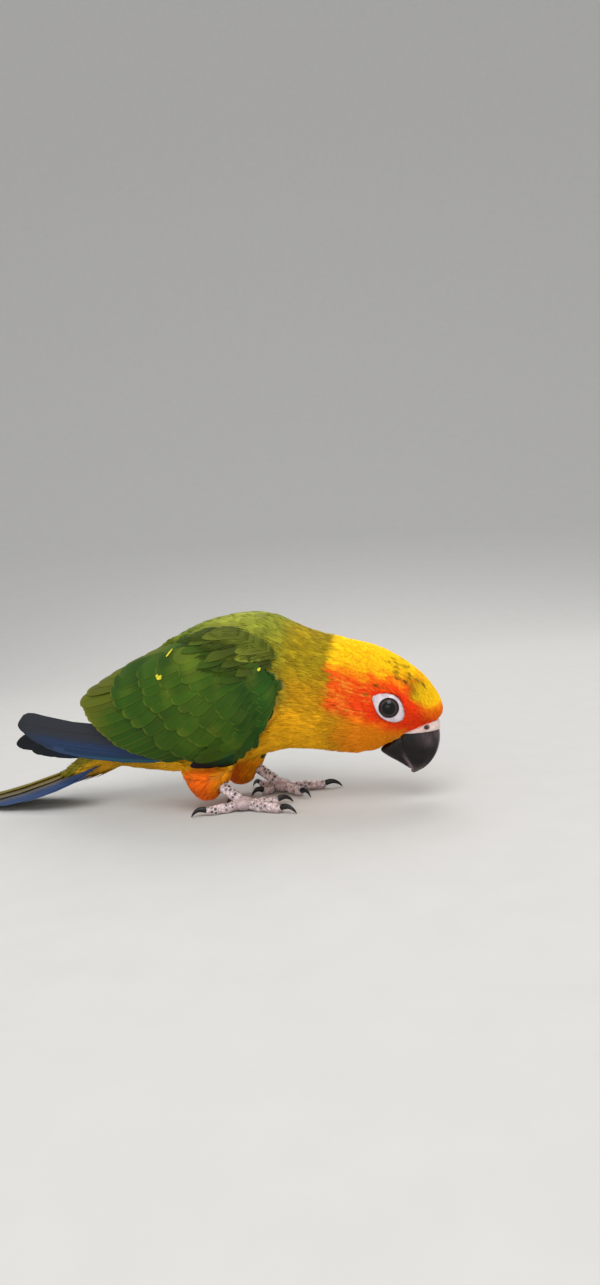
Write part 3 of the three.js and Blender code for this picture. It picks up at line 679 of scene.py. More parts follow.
@dataclass(frozen=True)
class BareSkin(Finish):
    """Finish of bare skin: fine wrinkles, soft light under the surface, dark where Dark says, which holds
    painted shade in the nostril pits and at the rear of the eye ring.
    """

    main: Array
    blush: Array
    dark: Array
    grain: float
    lines: float = 0.15

    def dress(self, n: Nodes) -> None:
        """Fills the material's nodes.

        Args:
            n: The nodes.
        """
        patches = n.step(n.noise(420, 3), 0.35, 0.7)
        creases = n.noise(self.grain, 4)
        tone = n.mix(patches, self.main, self.blush)
        lined = n.mix(n.times(n.step(creases, 0.5, 0.35), self.lines), tone, self.dark)
        n.surface({"Base Color": n.mix(n.number("Dark"), lined, self.dark), "Roughness": 0.55,
                   "Subsurface Weight": 0.12, "Subsurface Scale": 0.0012})
        n.bump(creases, 0.00016, 0.9)


@dataclass(frozen=True)
class Scute(Finish):
    """Finish of the small plates on the feet: grey mottled horn with pale rims."""

    def dress(self, n: Nodes) -> None:
        """Fills the material's nodes.

        Args:
            n: The nodes.
        """
        mottle = n.noise(1500, 3)
        aside, level = (n.value("ABSOLUTE", n.signed(part)) for part in n.vane())
        rim = n.step(n.plus(n.value("MAXIMUM", aside, level), n.times(mottle, 0.5)), 0.88, 1.12)
        pale = n.mix(mottle, n.tint("Fringe"), Shade.foot_pale)
        n.surface({"Base Color": n.mix(rim, n.tint("Tint"), pale),
                   "Roughness": n.spread(n.number("Lot"), 0.42, 0.6)})
        n.bump(mottle, 0.0001, 0.6)


@dataclass(frozen=True)
class EyeGlass(Finish):
    """Finish of the eye: pupil, dark iris and its rim from the attribute Ring, under a wet coat."""

    def dress(self, n: Nodes) -> None:
        """Fills the material's nodes.

        Args:
            n: The nodes.
        """
        ring = n.number("Ring")
        iris = n.mix(n.noise(1600, 4), Shade.iris, Shade.iris_light)
        inner = n.mix(n.step(ring, 0.56, 0.62), Shade.pupil, iris)
        n.surface({"Base Color": n.mix(n.step(ring, 0.84, 0.93), inner, Shade.iris_rim), "Roughness": 0.07,
                   "Specular IOR Level": 0.28})


@dataclass(frozen=True)
class Paper(Finish):
    """Finish of the studio's floor and backdrop."""

    def dress(self, n: Nodes) -> None:
        """Fills the material's nodes.

        Args:
            n: The nodes.
        """
        grain = n.noise(60, 3)
        n.surface({"Base Color": n.mix(grain, Shade.paper_dark, Shade.paper_light), "Roughness": 0.9,
                   "Specular IOR Level": 0.2})
        n.bump(grain, 0.0002)


@dataclass(frozen=True)
class Lamp:
    """One soft light: its name, place and size in metres, and its power in watts."""

    name: str
    place: tuple[float, float, float]
    size: float
    power: float


@dataclass(frozen=True)
class Studio:
    """Pale floor and backdrop, soft lights and the camera."""

    reach: float = 2.6
    fold: float = 0.7
    camera_place: tuple[float, float, float] = (0.20153, -0.32731, 0.08868)
    camera_right: tuple[float, float, float] = (0.92985, 0.35069, -0.11132)
    camera_down: tuple[float, float, float] = (-0.08543, -0.08850, -0.99241)
    camera_ahead: tuple[float, float, float] = (-0.35788, 0.93230, -0.05234)
    lens: float = 22.41
    sensor: float = 36
    aim: tuple[float, float, float] = (0.03, 0, 0.05)
    surround: tuple[float, float, float, float] = (0.95, 0.97, 1.0, 1)
    surround_strength: float = 0.75
    lamps: tuple[Lamp, ...] = (
        Lamp("key", (0.35, -0.6, 1.1), 0.8, 9.0),
        Lamp("fill", (0.1, -1.1, 0.15), 0.9, 3.4),
        Lamp("rim", (-0.1, 0.8, 1.0), 0.8, 6.0),
    )

    def floor(self) -> None:
        """Builds the floor, which turns up smoothly into a backdrop behind the bird."""
        bm = bmesh.new()
        bmesh.ops.create_grid(bm, x_segments=1, y_segments=1, size=self.reach)
        rear = self.reach * 0.9
        far = [e for e in bm.edges if all(v.co.y > rear for v in e.verts)]
        raised = bmesh.ops.extrude_edge_only(bm, edges=far)["geom"]
        tops = [g for g in raised if isinstance(g, bmesh.types.BMVert)]
        bmesh.ops.translate(bm, verts=tops, vec=(0, 0, self.reach))
        crease = [e for e in bm.edges if all(abs(v.co.z) < 1e-6 and v.co.y > rear for v in e.verts)]
        bmesh.ops.bevel(bm, geom=crease, offset=self.reach * self.fold, segments=32, profile=0.5,
                        affect="EDGES", material=-1)
        turn = Matrix.Rotation(math.atan2(-self.camera_ahead[0], self.camera_ahead[1]), 4, "Z")
        bmesh.ops.transform(bm, matrix=turn, verts=bm.verts[:])
        object_from(bm, "studio_floor", Paper("studio_paper").build())

    def lights(self) -> None:
        """Hangs three large soft lights and sets a pale surround."""
        world = bpy.data.worlds.new("soft_room")
        bpy.context.scene.world = world
        world.use_nodes = True
        sky = next(node for node in world.node_tree.nodes if node.type == "BACKGROUND")
        sky.inputs[0].default_value = self.surround
        sky.inputs[1].default_value = self.surround_strength
        for lamp in self.lamps:
            light = bpy.data.lights.new(lamp.name, "AREA")
            light.size = lamp.size
            light.energy = lamp.power
            hung = bpy.data.objects.new(lamp.name, light)
            hung.location = lamp.place
            sight = Vector(self.aim) - Vector(lamp.place)
            hung.rotation_euler = sight.to_track_quat("-Z", "Y").to_euler()
            bpy.context.scene.collection.objects.link(hung)

    def camera(self) -> None:
        """Sets the camera at the photograph's viewing angle."""
        data = bpy.data.cameras.new("camera")
        data.sensor_width = self.sensor
        data.lens = self.lens
        data.clip_start = 0.01
        data.clip_end = 20
        camera = bpy.data.objects.new("camera", data)
        right, down, ahead = Vector(self.camera_right), Vector(self.camera_down), Vector(self.camera_ahead)
        turn = Matrix((right, -down, -ahead)).transposed()
        camera.matrix_world = Matrix.Translation(self.camera_place) @ turn.to_4x4()
        bpy.context.scene.collection.objects.link(camera)
        bpy.context.scene.camera = camera

    def build(self) -> None:
        """Builds all of it."""
        bpy.context.scene.view_settings.view_transform = "Standard"
        self.floor()
        self.lights()
        self.camera()


@dataclass
class Lie:
    """Which way the coat lies, and where a point is on the body: its station and its height share."""

    stations: int = 55
    levels: int = 11
    bill: tuple[float, float, float] = (-3.0, 0, 37.0)
    eye_side: float = 13.0
    down_thigh: tuple[float, float, float] = (-0.62, 0, -0.78)
    down_tail: tuple[float, float, float] = (-0.92, 0, -0.38)

    def __post_init__(self) -> None:
        """Reads the body's outline into a net of places with their directions."""
        stations = np.linspace(0, len(BODY) - 1, self.stations)
        top = smooth_line(BODY[:, :2], stations / (len(BODY) - 1))
        bottom = smooth_line(BODY[:, 2:], stations / (len(BODY) - 1))
        rows = []
        for share in np.linspace(0, 1, self.levels):
            line = bottom * (1 - share) + top * share
            back = -np.gradient(line, axis=0)
            rows += [(*place, *unit(way), station, share)
                     for place, way, station in zip(line, back, stations)]
        self.rows = np.array(rows)
        self.tree = KDTree(len(rows))
        for index, row in enumerate(self.rows):
            self.tree.insert((row[0], 0, row[1]), index)
        self.tree.balance()

    def read(self, points: Array) -> tuple[Array, ...]:
        """Reads the net.

        Args:
            points: Drawing points.

        Returns:
            The coat's direction, the station from the rump to the face, and the height share, for each point.
        """
        found = np.empty((len(points), 4))
        for index, point in enumerate(points):
            near = self.tree.find_n((point[0], 0, point[2]), 4)
            weight = np.array([1 / (distance + 0.3) for _, _, distance in near])
            rows = self.rows[[number for _, number, _ in near], 2:]
            found[index] = weight @ rows / weight.sum()
        way = np.stack((found[:, 0], np.zeros(len(points)), found[:, 1]), 1)
        return self.bend(points, unit(way)), found[:, 2], found[:, 3]

    def bend(self, points: Array, way: Array) -> Array:
        """Turns the lie round the bill and eyes, down the thighs and along the tail.

        Args:
            points: Drawing points.
            way: Directions of the coat there, as the body's outline gives them.

        Returns:
            The turned directions.
        """
        x, z = points[:, 0], points[:, 2]
        bill = np.array(self.bill)
        near_bill = 0.85 * ramp(20, 4, np.linalg.norm(points - bill - np.array((0, 0, 1.0)), axis=1))
        way = mixed(way, unit(points - bill), near_bill)
        eye = np.stack((0 * x + EYE[0], np.sign(points[:, 1]) * self.eye_side, 0 * x + EYE[1]), 1)
        near_eye = 0.5 * ramp(12, 6, np.linalg.norm(points - eye, axis=1)) * (x > -40)
        way = mixed(way, unit(points - eye), near_eye)
        thigh = ramp(25, 20, z) * ramp(-84, -88, x) * ramp(-122, -118, x)
        way = mixed(way, np.array(self.down_thigh), thigh)
        return unit(mixed(way, np.array(self.down_tail), ramp(-150, -162, x)))


@dataclass(frozen=True)
class Markings:
    """Colours of the plumage by place on the body, shared by skin and coat."""

    lie: Lie
    fleck_seed: int = 21
    fleck_count: int = 28
    fleck_field: tuple = ((-10, -9), (6, 9))
    flecks_by_eye: tuple = ((7, -13.6), (5.4, 13.2), (10, -17.2), (8.6, 16.4))
    fleck_size: tuple[float, float] = (1.05, 0.48)
    fleck_share: float = 0.85
    head_round: float = 12
    head_rise: tuple[float, float] = (0.92, 0.39)
    smudge_place: tuple[float, float] = (-6.2, 53.5)
    smudge_size: tuple[float, float] = (5.0, 2.1)

    def body(self, points: Array) -> Array:
        """Colours of head, neck, torso, thighs and tail root.

        Args:
            points: Drawing points.

        Returns:
            The main colour of each.
        """
        x, z = points[:, 0], points[:, 2]
        _, _, height = self.lie.read(points)
        wave = ripple(points, 16, 3)
        fine = ripple(points, 5, 4)
        x = x + 1.2 * wave + 0.8 * fine
        height = height + 0.03 * wave + 0.02 * fine
        side = mixed(Shade.neck_gold, Shade.mantle, ramp(-52, -66, x))
        upper = painted(Shade.olive_gold, (Shade.mantle, ramp(-52, -64, x)), (Shade.back, ramp(-84, -104, x)),
                        (Shade.rump, ramp(-132, -152, x)))
        tone = painted(Shade.belly, (Shade.breast, ramp(-110, -80, x)),
                       (side, ramp(0.3, 0.45, height) * ramp(-90, -60, x)),
                       (upper, ramp(0.5, 0.78, height + ramp(-60, -84, x) * 0.2)),
                       (Shade.vent, ramp(0.5, 0.2, height) * ramp(-118, -136, x)))
        patchy = 0.09 * ripple(points * np.array((0.6, 1, 1)), 7, 6) + 0.06 * ripple(points, 3, 7)
        tone = tone * (1 + patchy * (0.7 + ramp(0.5, 0.8, height)))[:, None]
        thigh = mixed(Shade.thigh, Shade.thigh_edge, ramp(3.0, 12, np.abs(x + 104)) * 0.8)
        tone = mixed(tone, thigh, ramp(26, 22, z) * ramp(-86, -90, x) * ramp(-120, -116, x))
        collar = np.interp(z, (28, 40, 57, 73, 78), (-47, -43, -40.5, -38.5, -39))
        softness = 1.2 + 2.2 * ramp(62, 50, z)
        return mixed(tone, self.head(points, x, fine), ramp(-1, 1, (x - collar + 0.6 * fine) / softness))

    def head(self, points: Array, x: Array, fine: Array) -> Array:
        """Colours of the head, by how far a place is behind and above the eye as the head is held.

        Args:
            points: Drawing points.
            x: Their x, made uneven.
            fine: Fine unevenness at the points.

        Returns:
            The main colour of each.
        """
        z = points[:, 2]
        level, rise = self.head_rise
        back = -(x - EYE[0]) * level + (z - EYE[1]) * rise
        above = (x - EYE[0]) * rise + (z - EYE[1]) * level
        lengthwise = np.stack((0.28 * back, 1.5 * points[:, 1], 1.7 * above), 1)
        strokes = ripple(lengthwise, 3.6, 9)
        throat_side = ramp(10, 24, back) * ramp(-4, -10, above)
        cheek = ramp(-10, -5, above + 0.35 * fine) * ramp(22, 10, back)
        ear = ramp(10, 18, back) * ramp(-12, -7, above) * ramp(12, 7, above)
        streak = np.clip(strokes * 1.2, 0, 1) * ramp(5, 12, back) * ramp(-12, -7, above)
        amber = np.clip(ripple(lengthwise, 4.5, 19), 0, 1) * ramp(9, 13, above) * ramp(22, 15, above)
        front = ramp(-4, -10, back)
        brow = ramp(2.5, 6.5, above + 0.5 * fine - 4 * ramp(-4, -10, x)) * front
        across, up = x - self.smudge_place[0], z - self.smudge_place[1]
        down, aside = 0.47 * across - 0.88 * up, 0.88 * across + 0.47 * up
        smudge = np.exp(-(down / self.smudge_size[0]) ** 2 - (aside / self.smudge_size[1]) ** 2)
        smudge = smudge * (np.abs(points[:, 1]) > 3.5)
        return painted(
            Shade.chin, (Shade.orange, ramp(-13, -7, above)), (Shade.neck_gold, throat_side),
            (Shade.flame, cheek), (Shade.ear, ear),
            (Shade.pale_streak, streak * 0.8 * ramp(11, 5, above)),
            (Shade.orange, ramp(4.5, 10, above + 0.5 * fine + strokes)),
            (Shade.crown, ramp(8.5, 15, above + 0.12 * back + 0.6 * fine + 1.6 * strokes)),
            (Shade.orange, amber * (0.06 + 0.16 * ramp(-4, 6, back))),
            (Shade.orange, ramp(-3, 2, above) * ramp(-6, -1, x)), (Shade.crown, brow),
            (Shade.forehead, ramp(5, 9, above) * ramp(18, 12, above) * front * 0.5),
            (Shade.fleck, np.clip(self.flecks(points) + smudge * 0.62, 0, self.fleck_share)))

    def flecks(self, points: Array) -> Array:
        """Short dark flecks of the fore crown, and the few beside the eye.

        Args:
            points: Drawing points.

        Returns:
            Share of the dark colour at each.
        """
        level, rise = self.head_rise
        ahead, over = points[:, 0] - EYE[0], points[:, 2] - EYE[1]
        back = rise * over - level * ahead
        round_head = np.arctan2(points[:, 1], rise * ahead + level * over) * self.head_round
        spots = np.random.default_rng(self.fleck_seed).uniform(*self.fleck_field, (self.fleck_count, 2))
        spots = np.vstack((spots, self.flecks_by_eye))
        long, wide = self.fleck_size
        near = ((back[:, None] - spots[:, 0]) / long) ** 2 + ((round_head[:, None] - spots[:, 1]) / wide) ** 2
        return np.exp(-near).max(1) * self.fleck_share

    @staticmethod
    def wing(points: Array) -> Array:
        """Colours of the wings' coverts.

        Args:
            points: Drawing points.

        Returns:
            The main colour of each.
        """
        x, z = points[:, 0], points[:, 2]
        edge = ramp(7, 0, z - np.interp(x, (-108, -95, -84, -74, -66, -60), (27, 24, 27.5, 34, 42.5, 52)))
        top = ramp(66, 80, z) * ramp(-118, -96, x)
        tone = painted(Shade.covert, (Shade.secondary, ramp(-96, -128, x)),
                       (Shade.covert_front, ramp(-92, -72, x)), (Shade.wing_edge, edge * 0.4),
                       (Shade.mantle, np.clip(top * 0.3 + 0.1 * ripple(points, 9, 31), 0, 1)))
        return tone * (1 + 0.12 * ripple(points, 14, 32))[:, None]


class Form:
    """Shape of one feather, modelled once: across is x, along is y, and depth is z, all as shares."""

    cup = 0.0

    def keep(self, bm: BMesh) -> Array:
        """Keeps a mesh's triangles.

        Args:
            bm: Mesh of the feather, which is freed.

        Returns:
            The places of its vertices.
        """
        bmesh.ops.triangulate(bm, faces=bm.faces[:])
        bmesh.ops.recalc_face_normals(bm, faces=bm.faces[:])
        bm.verts.ensure_lookup_table()
        grid = np.array([v.co for v in bm.verts])
        self.faces = np.array([[v.index for v in f.verts] for f in bm.faces], np.int32)
        bm.free()
        return grid


class VaneForm(Form):
    """Closed blade of a feather, thin at its rim."""

    cup = 0.14

    def __init__(self, rows: tuple[tuple[float, float], ...], across: int) -> None:
        """Models the form.

        Args:
            rows: Share along the feather and share of its full half width, from root to tip.
            across: Number of faces across.
        """
        along = len(rows) - 1
        bm = bmesh.new()
        bmesh.ops.create_grid(bm, x_segments=across, y_segments=along, size=1)
        bmesh.ops.solidify(bm, geom=bm.faces[:], thickness=1)
        for vert in bm.verts:
            rim = max(abs(vert.co.x), abs(vert.co.y)) > 0.999
            vert.co.z = 0 if rim else -round(vert.co.z)
        bmesh.ops.remove_doubles(bm, verts=bm.verts[:], dist=1e-4)
        self.part_corners(bm)
        grid = self.keep(bm)
        table = np.array(rows, float)
        row = (grid[:, 1] + 1) / 2 * along
        self.across = grid[:, 0]
        self.along = np.interp(row, np.arange(along + 1), table[:, 0])
        self.wide = np.interp(row, np.arange(along + 1), table[:, 1])
        self.deep = grid[:, 2]
        self.rim = self.deep == 0

    @staticmethod
    def part_corners(bm: BMesh) -> None:
        """Splits each corner face from its corner inwards, so that the two sides share no triangle.

        Args:
            bm: Mesh of the blade, with four-sided faces.
        """
        for face in bm.faces[:]:
            inner = [place for place, vert in enumerate(face.verts) if vert.co.z != 0]
            if len(inner) == 1:
                bmesh.utils.face_split(face, face.verts[inner[0]], face.verts[inner[0] - 2])


class TuftForm(Form):
    """Soft tuft: a fan of slim three-sided blades that meet at the root."""

    profile = ((0, 0.5), (0.4, 1.0), (0.8, 0.72), (1, 0.1))
    cup = 0.3
    layer = 0.7
    ridge = 1.6

    def __init__(self, blades: int, fan: float, width: float, rounding: float, seed: int) -> None:
        """Models the form.

        Args:
            blades: Number of blades.
            fan: Share of the tuft's width that its root takes.
            width: Half width of a blade as a share of that of the tuft.
            rounding: How much shorter the outer blades are, as a share.
            seed: Start of the random draw of the blades' lengths.
        """
        draw = np.random.default_rng(seed)
        bm = bmesh.new()
        for index in range(blades):
            middle = (index + 0.5) / blades * 2 - 1 + draw.normal(0, 0.04)
            length = (1 - rounding * middle ** 2) * draw.uniform(0.84, 1)
            low = self.layer * (index % 2)
            rings = []
            for share, wide in self.profile:
                centre = middle * (fan + (1 - fan) * share ** 0.8)
                half = width * wide
                rings.append(np.array(((centre - half, share * length, low),
                                       (centre + half, share * length, low),
                                       (centre, share * length, low - self.ridge * wide))))
            loft(bm, rings, np.asarray)
        self.across, self.along, self.deep = self.keep(bm).T
        self.wide = np.ones(len(self.across))
        self.rim = np.zeros(len(self.across), bool)


@dataclass
class Plumes:
    """Many feathers joined into meshes of fewer than the allowed triangles."""

    name: str
    material: Material
    limit: int = 180000
    patch: float = 0.003
    lots: list[tuple] = field(default_factory=list)

    def add(self, form: Form, points: Array, tint: Array, fringe: Array, unwrap: Array,
            seed: int) -> None:
        """Adds feathers of one form.

        Args:
            form: The form they share.
            points: Drawing points of every vertex of every feather.
            tint: Main colour of each feather or of each of its vertices.
            fringe: Colour of the edges, given alike.
            unwrap: Place of each root on the unwrapped skin.
            seed: Start of the random draw of their small differences.
        """
        shape = points.shape
        spread = [np.broadcast_to(c if c.ndim == 3 else c[:, None, :], shape) for c in (tint, fringe)]
        lot = np.repeat(np.random.default_rng(seed).uniform(0, 1, shape[0]), shape[1]).reshape(shape[:2])
        local = np.stack(((form.across + 1) / 2, form.along), 1)
        patch = unwrap[:, None, :] + (local - 0.5) * self.patch
        self.lots.append((form, points, *spread, lot, local, patch))

    def build(self) -> list[Object]:
        """Joins the feathers.

        Returns:
            The pieces.
        """
        chunks, current, total = [], [], 0
        for form, points, tint, fringe, lot, local, patch in self.lots:
            room = self.limit // len(form.faces)
            for start in range(0, len(points), room):
                part = slice(start, start + room)
                faces = len(points[part]) * len(form.faces)
                if current and total + faces > self.limit:
                    chunks.append(current)
                    current, total = [], 0
                current.append((form, points[part], tint[part], fringe[part], lot[part], local, patch[part]))
                total += faces
        chunks.append(current)
        names = [self.name] if len(chunks) == 1 else [f"{self.name}_{k + 1}" for k in range(len(chunks))]
        return [self.join(chunk, name) for chunk, name in zip(chunks, names) if chunk]

    def join(self, chunk: list[tuple], name: str) -> Object:
        """Makes one mesh of some of the feathers, with crisp edges along the rims of their blades.

        Args:
            chunk: Form, points, colours, lot and places on the maps of feathers of each kind.
            name: Name of the piece.

        Returns:
            The piece.
        """
        places, faces, vane, bake, tints, fringes, lots, rims = ([] for _ in range(8))
        offset = 0
        for form, points, tint, fringe, lot, local, patch in chunk:
            number, size = points.shape[:2]
            step = (np.arange(number) * size)[:, None, None]
            corner = (form.faces[None] + step).reshape(-1)
            faces.append(corner + offset)
            vane.append(np.tile(local, (number, 1))[corner])
            bake.append(patch.reshape(-1, 2)[corner])
            places.append(to_frame(points.reshape(-1, 3)))
            tints.append(tint.reshape(-1, 3))
            fringes.append(fringe.reshape(-1, 3))
            lots.append(lot.reshape(-1))
            rims.append(np.tile(form.rim, number))
            offset += number * size
        corners = np.concatenate(faces)
        count = len(corners) // 3
        mesh = bpy.data.meshes.new(name)
        mesh.vertices.add(offset)
        mesh.vertices.foreach_set("co", np.concatenate(places).astype(np.float32).ravel())
        mesh.loops.add(len(corners))
        mesh.loops.foreach_set("vertex_index", corners.astype(np.int32))
        mesh.polygons.add(count)
        mesh.polygons.foreach_set("loop_start", np.arange(0, len(corners), 3, dtype=np.int32))
        mesh.polygons.foreach_set("use_smooth", np.ones(count, bool))
        mesh.update(calc_edges=True)
        for label, data in (("OFBake", bake), ("Vane", vane)):
            spots = np.concatenate(data).astype(np.float32).ravel()
            mesh.uv_layers.new(name=label).data.foreach_set("uv", spots)
        for label, data in (("Tint", tints), ("Fringe", fringes), ("Lot", lots)):
            set_attribute(mesh, label, np.concatenate(data))
        ends = np.empty(len(mesh.edges) * 2, np.int32)
        mesh.edges.foreach_get("vertices", ends)
        sharp = np.concatenate(rims)[ends.reshape(-1, 2)].all(1)
        mesh.attributes.new("sharp_edge", "BOOLEAN", "EDGE").data.foreach_set("value", sharp)
        mesh.materials.append(self.material)
        piece = bpy.data.objects.new(name, mesh)
        bpy.context.scene.collection.objects.link(piece)
        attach(piece, "root")
        log.info("%s: %d triangles", name, count)
        return piece


@dataclass
class Skin:
    """One closed skin in place of the nodes of flesh, with the folded wings' and tail's roots."""

    nodes: tuple[str, ...] = ("torso", "neck", "head", "thigh_right", "thigh_left")
    closing: float = 0.8
    depth: float = 0.6
    voxel: float = 1.3
    bed_steps: int = 11
    bed_depth: float = 8.4
    bed_rim: float = 8.2
    tail_rings: tuple = ((0, 9.9, 9.4), (0.07, 9.4, 8), (0.15, 9, 6), (0.24, 8, 3.8), (0.3, 6, 2))
    bill_lumps: tuple = (((-7.6, 0, 37.4), (8.3, 6.2, 3.6)), ((-14.6, 0, 33.0), (6.6, 5.3, 4.4)))
    unwrap_angle: float = math.radians(66)
    unwrap_margin: float = 0.002

    def wing_bed(self, bm: BMesh, side: Side) -> None:
        """Adds the bed that a wing's feathers lie on.

        Args:
            bm: Mesh that takes it.
            side: Side of the wing.
        """
        rings = []
        steps = self.bed_steps
        for index, (x, low, high) in enumerate(WING_CORE):
            angle = np.linspace(WingSurface.angle(x, low), WingSurface.angle(x, high), steps)
            behind = -x - 0.95 * (WingSurface.point(x, angle, 0 * angle)[:, 2] - 33)
            rounding = np.maximum(np.abs(np.linspace(-1, 1, steps)) ** 6 * 0.28, 0.55 if index == 0 else 0)
            slope = np.interp(behind, CORE_SLOPE[:, 0], CORE_SLOPE[:, 1]) + 0.2
            depth = slope * (1 - rounding) + self.bed_rim * rounding
            outer = WingSurface.point(x, angle, depth)
            inner = WingSurface.point(x, angle[::-1], self.bed_depth + 0 * angle)
            rings.append(side.turn(np.vstack((outer, inner))))
        loft(bm, rings)

    def tail_root(self, bm: BMesh) -> None:
        """Adds the fleshy root of the tail.

        Args:
            bm: Mesh that takes it.
        """
        rings = []
        for share, across, upward in self.tail_rings:
            place, up = Tail.frame(np.array((share,)))
            centre = place[0] - up[0] * 2 * share
            rings.append(oval(centre, np.array((0, across, 0)), up[0] * upward, 24, 2.2))
        loft(bm, rings)

    def bill_root(self, bm: BMesh) -> None:
        """Adds the flesh inside the roots of cere and bill, so that no gap shows round them."""
        for place, size in self.bill_lumps:
            add_lump(bm, place, size)

    def build(self, markings: Markings) -> Object:
        """Builds the skin and colours it.

        Args:
            markings: Colours by place.

        Returns:
            The skin, with its map OFBake.
        """
        bm = bmesh.new()
        for name in self.nodes:
            bm.from_mesh(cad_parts[name].data)
        bmesh.ops.remove_doubles(bm, verts=bm.verts[:], dist=1e-6)
        for side in Side:
            self.wing_bed(bm, side)
        self.tail_root(bm)
        self.bill_root(bm)
        bmesh.ops.recalc_face_normals(bm, faces=bm.faces[:])
        self.swell(bm, self.closing)
        skin = object_from(bm, "skin", Hide("skin_under_feathers").build())
        remesh = skin.modifiers.new("even", "REMESH")
        remesh.mode = "VOXEL"
        remesh.voxel_size = self.voxel * MM
        apply_modifiers(skin)
        bm = bmesh.new()
        bm.from_mesh(skin.data)
        self.keep_largest(bm)
        self.soften(bm, 3)
        self.swell(bm, -self.closing - self.depth)
        self.soften(bm, 1)
        bm.to_mesh(skin.data)
        bm.free()
        skin.data.polygons.foreach_set("use_smooth", np.ones(len(skin.data.polygons), bool))
        self.unwrap(skin)
        points = drawn(skin.data)
        tint = markings.body(points)
        winged = WingSurface.contains(points)
        tint[winged] = markings.wing(points[winged])
        set_attribute(skin.data, "Tint", tint)
        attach(skin, "root")
        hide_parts(*self.nodes)
        log.info("skin: %d faces", len(skin.data.polygons))
        return skin

    @staticmethod
    def soften(bm: BMesh, times: int) -> None:
        """Smooths the surface a number of times.

        Args:
            bm: Mesh of the skin.
            times: How often.
        """
        for _ in range(times):
            bmesh.ops.smooth_vert(bm, verts=bm.verts[:], factor=0.5, use_axis_x=True, use_axis_y=True,
                                  use_axis_z=True)

    @staticmethod
    def swell(bm: BMesh, amount: float) -> None:
        """Moves every vertex out along its normal.

        Args:
            bm: Mesh of the skin.
            amount: Distance in millimetres.
        """
        bm.normal_update()
        moves = [v.normal * amount * MM for v in bm.verts]
        for vert, move in zip(bm.verts, moves):
            vert.co += move

    @staticmethod
    def keep_largest(bm: BMesh) -> None:
        """Deletes all but the largest connected surface.

        Args:
            bm: Mesh of the skin.
        """
        left = set(bm.verts)
        largest: set = set()
        while left:
            group, edge = set(), [left.pop()]
            while edge:
                vert = edge.pop()
                group.add(vert)
                for other in (e.other_vert(vert) for e in vert.link_edges):
                    if other in left:
                        left.discard(other)
                        edge.append(other)
            largest = max(largest, group, key=len)
        bmesh.ops.delete(bm, geom=[v for v in bm.verts if v not in largest], context="VERTS")

    def unwrap(self, skin: Object) -> None:
        """Gives the skin its map OFBake by laying its surface out flat.

        Args:
            skin: The skin.
        """
        skin.data.uv_layers.new(name="OFBake")
        bpy.context.view_layer.objects.active = skin
        skin.select_set(True)
        bpy.ops.object.mode_set(mode="EDIT")
        bpy.ops.mesh.select_all(action="SELECT")
        bpy.ops.uv.smart_project(angle_limit=self.unwrap_angle, island_margin=self.unwrap_margin)
        bpy.ops.object.mode_set(mode="OBJECT")
        skin.select_set(False)


class Outline(Enum):
    """Outlines of vanes: share along the feather and share of its full half width, from root to tip."""

    SMALL = ((0, 0.5), (0.35, 0.9), (0.6, 1), (0.8, 0.88), (0.92, 0.62), (1, 0.2))
    SCUTE = ((0, 0.55), (0.3, 1), (0.7, 1), (1, 0.55))
    PADDLE = ((0, 0.4), (0.12, 0.62), (0.3, 0.86), (0.5, 1), (0.7, 1), (0.85, 1), (0.92, 0.96), (0.955, 0.85),
              (0.98, 0.64), (0.993, 0.38), (1, 0.12))
    FLIGHT = ((0, 0.4), (0.12, 0.62), (0.3, 0.86), (0.5, 1), (0.65, 1), (0.78, 0.97), (0.87, 0.88),
              (0.93, 0.73), (0.97, 0.52), (0.99, 0.3), (1, 0.1))
    BROAD = ((0, 0.5), (0.2, 0.75), (0.4, 0.95), (0.6, 1), (0.78, 1), (0.88, 0.95), (0.94, 0.83),
             (0.975, 0.62), (0.995, 0.35), (1, 0.15))
    POINTED = ((0, 0.5), (0.2, 0.8), (0.4, 0.97), (0.55, 1), (0.7, 0.9), (0.8, 0.74), (0.88, 0.55),
               (0.95, 0.3), (1, 0.06))
    ROUND = ((0, 0.6), (0.25, 0.9), (0.5, 1), (0.68, 1), (0.8, 0.95), (0.89, 0.83), (0.95, 0.64),
             (0.985, 0.38), (1, 0.12))


class Down(Enum):
    """Kinds of body feather, with the blades, fan, half width and rounding of their tufts."""

    HAIR = (3, 0.35, 0.36, 0.2)
    SOFT = (5, 0.3, 0.26, 0.35)
    FRAYED = (7, 0.45, 0.24, 0.5)
    MIXED = (7, 0.5, 0.26, 0.5)

    def forms(self) -> list[Form]:
        """Models the three forms that take turns in a tract.

        Returns:
            Three tufts, or a tuft between two vanes for mixed feathers.
        """
        if self is Down.MIXED:
            vane = VaneForm(Outline.SMALL.value, 4)
            return [vane, TuftForm(*self.value, 21), vane]
        return [TuftForm(*self.value, seed) for seed in range(3)]


@dataclass(frozen=True)
class Tract:
    """Tract of the coat: where it is, how densely feathers grow and how large they are, in millimetres."""

    name: str
    spacing: float
    length: float
    half: float
    lift: float
    kind: Down
    seed: int
    slot: str
    variety: float = 0.1


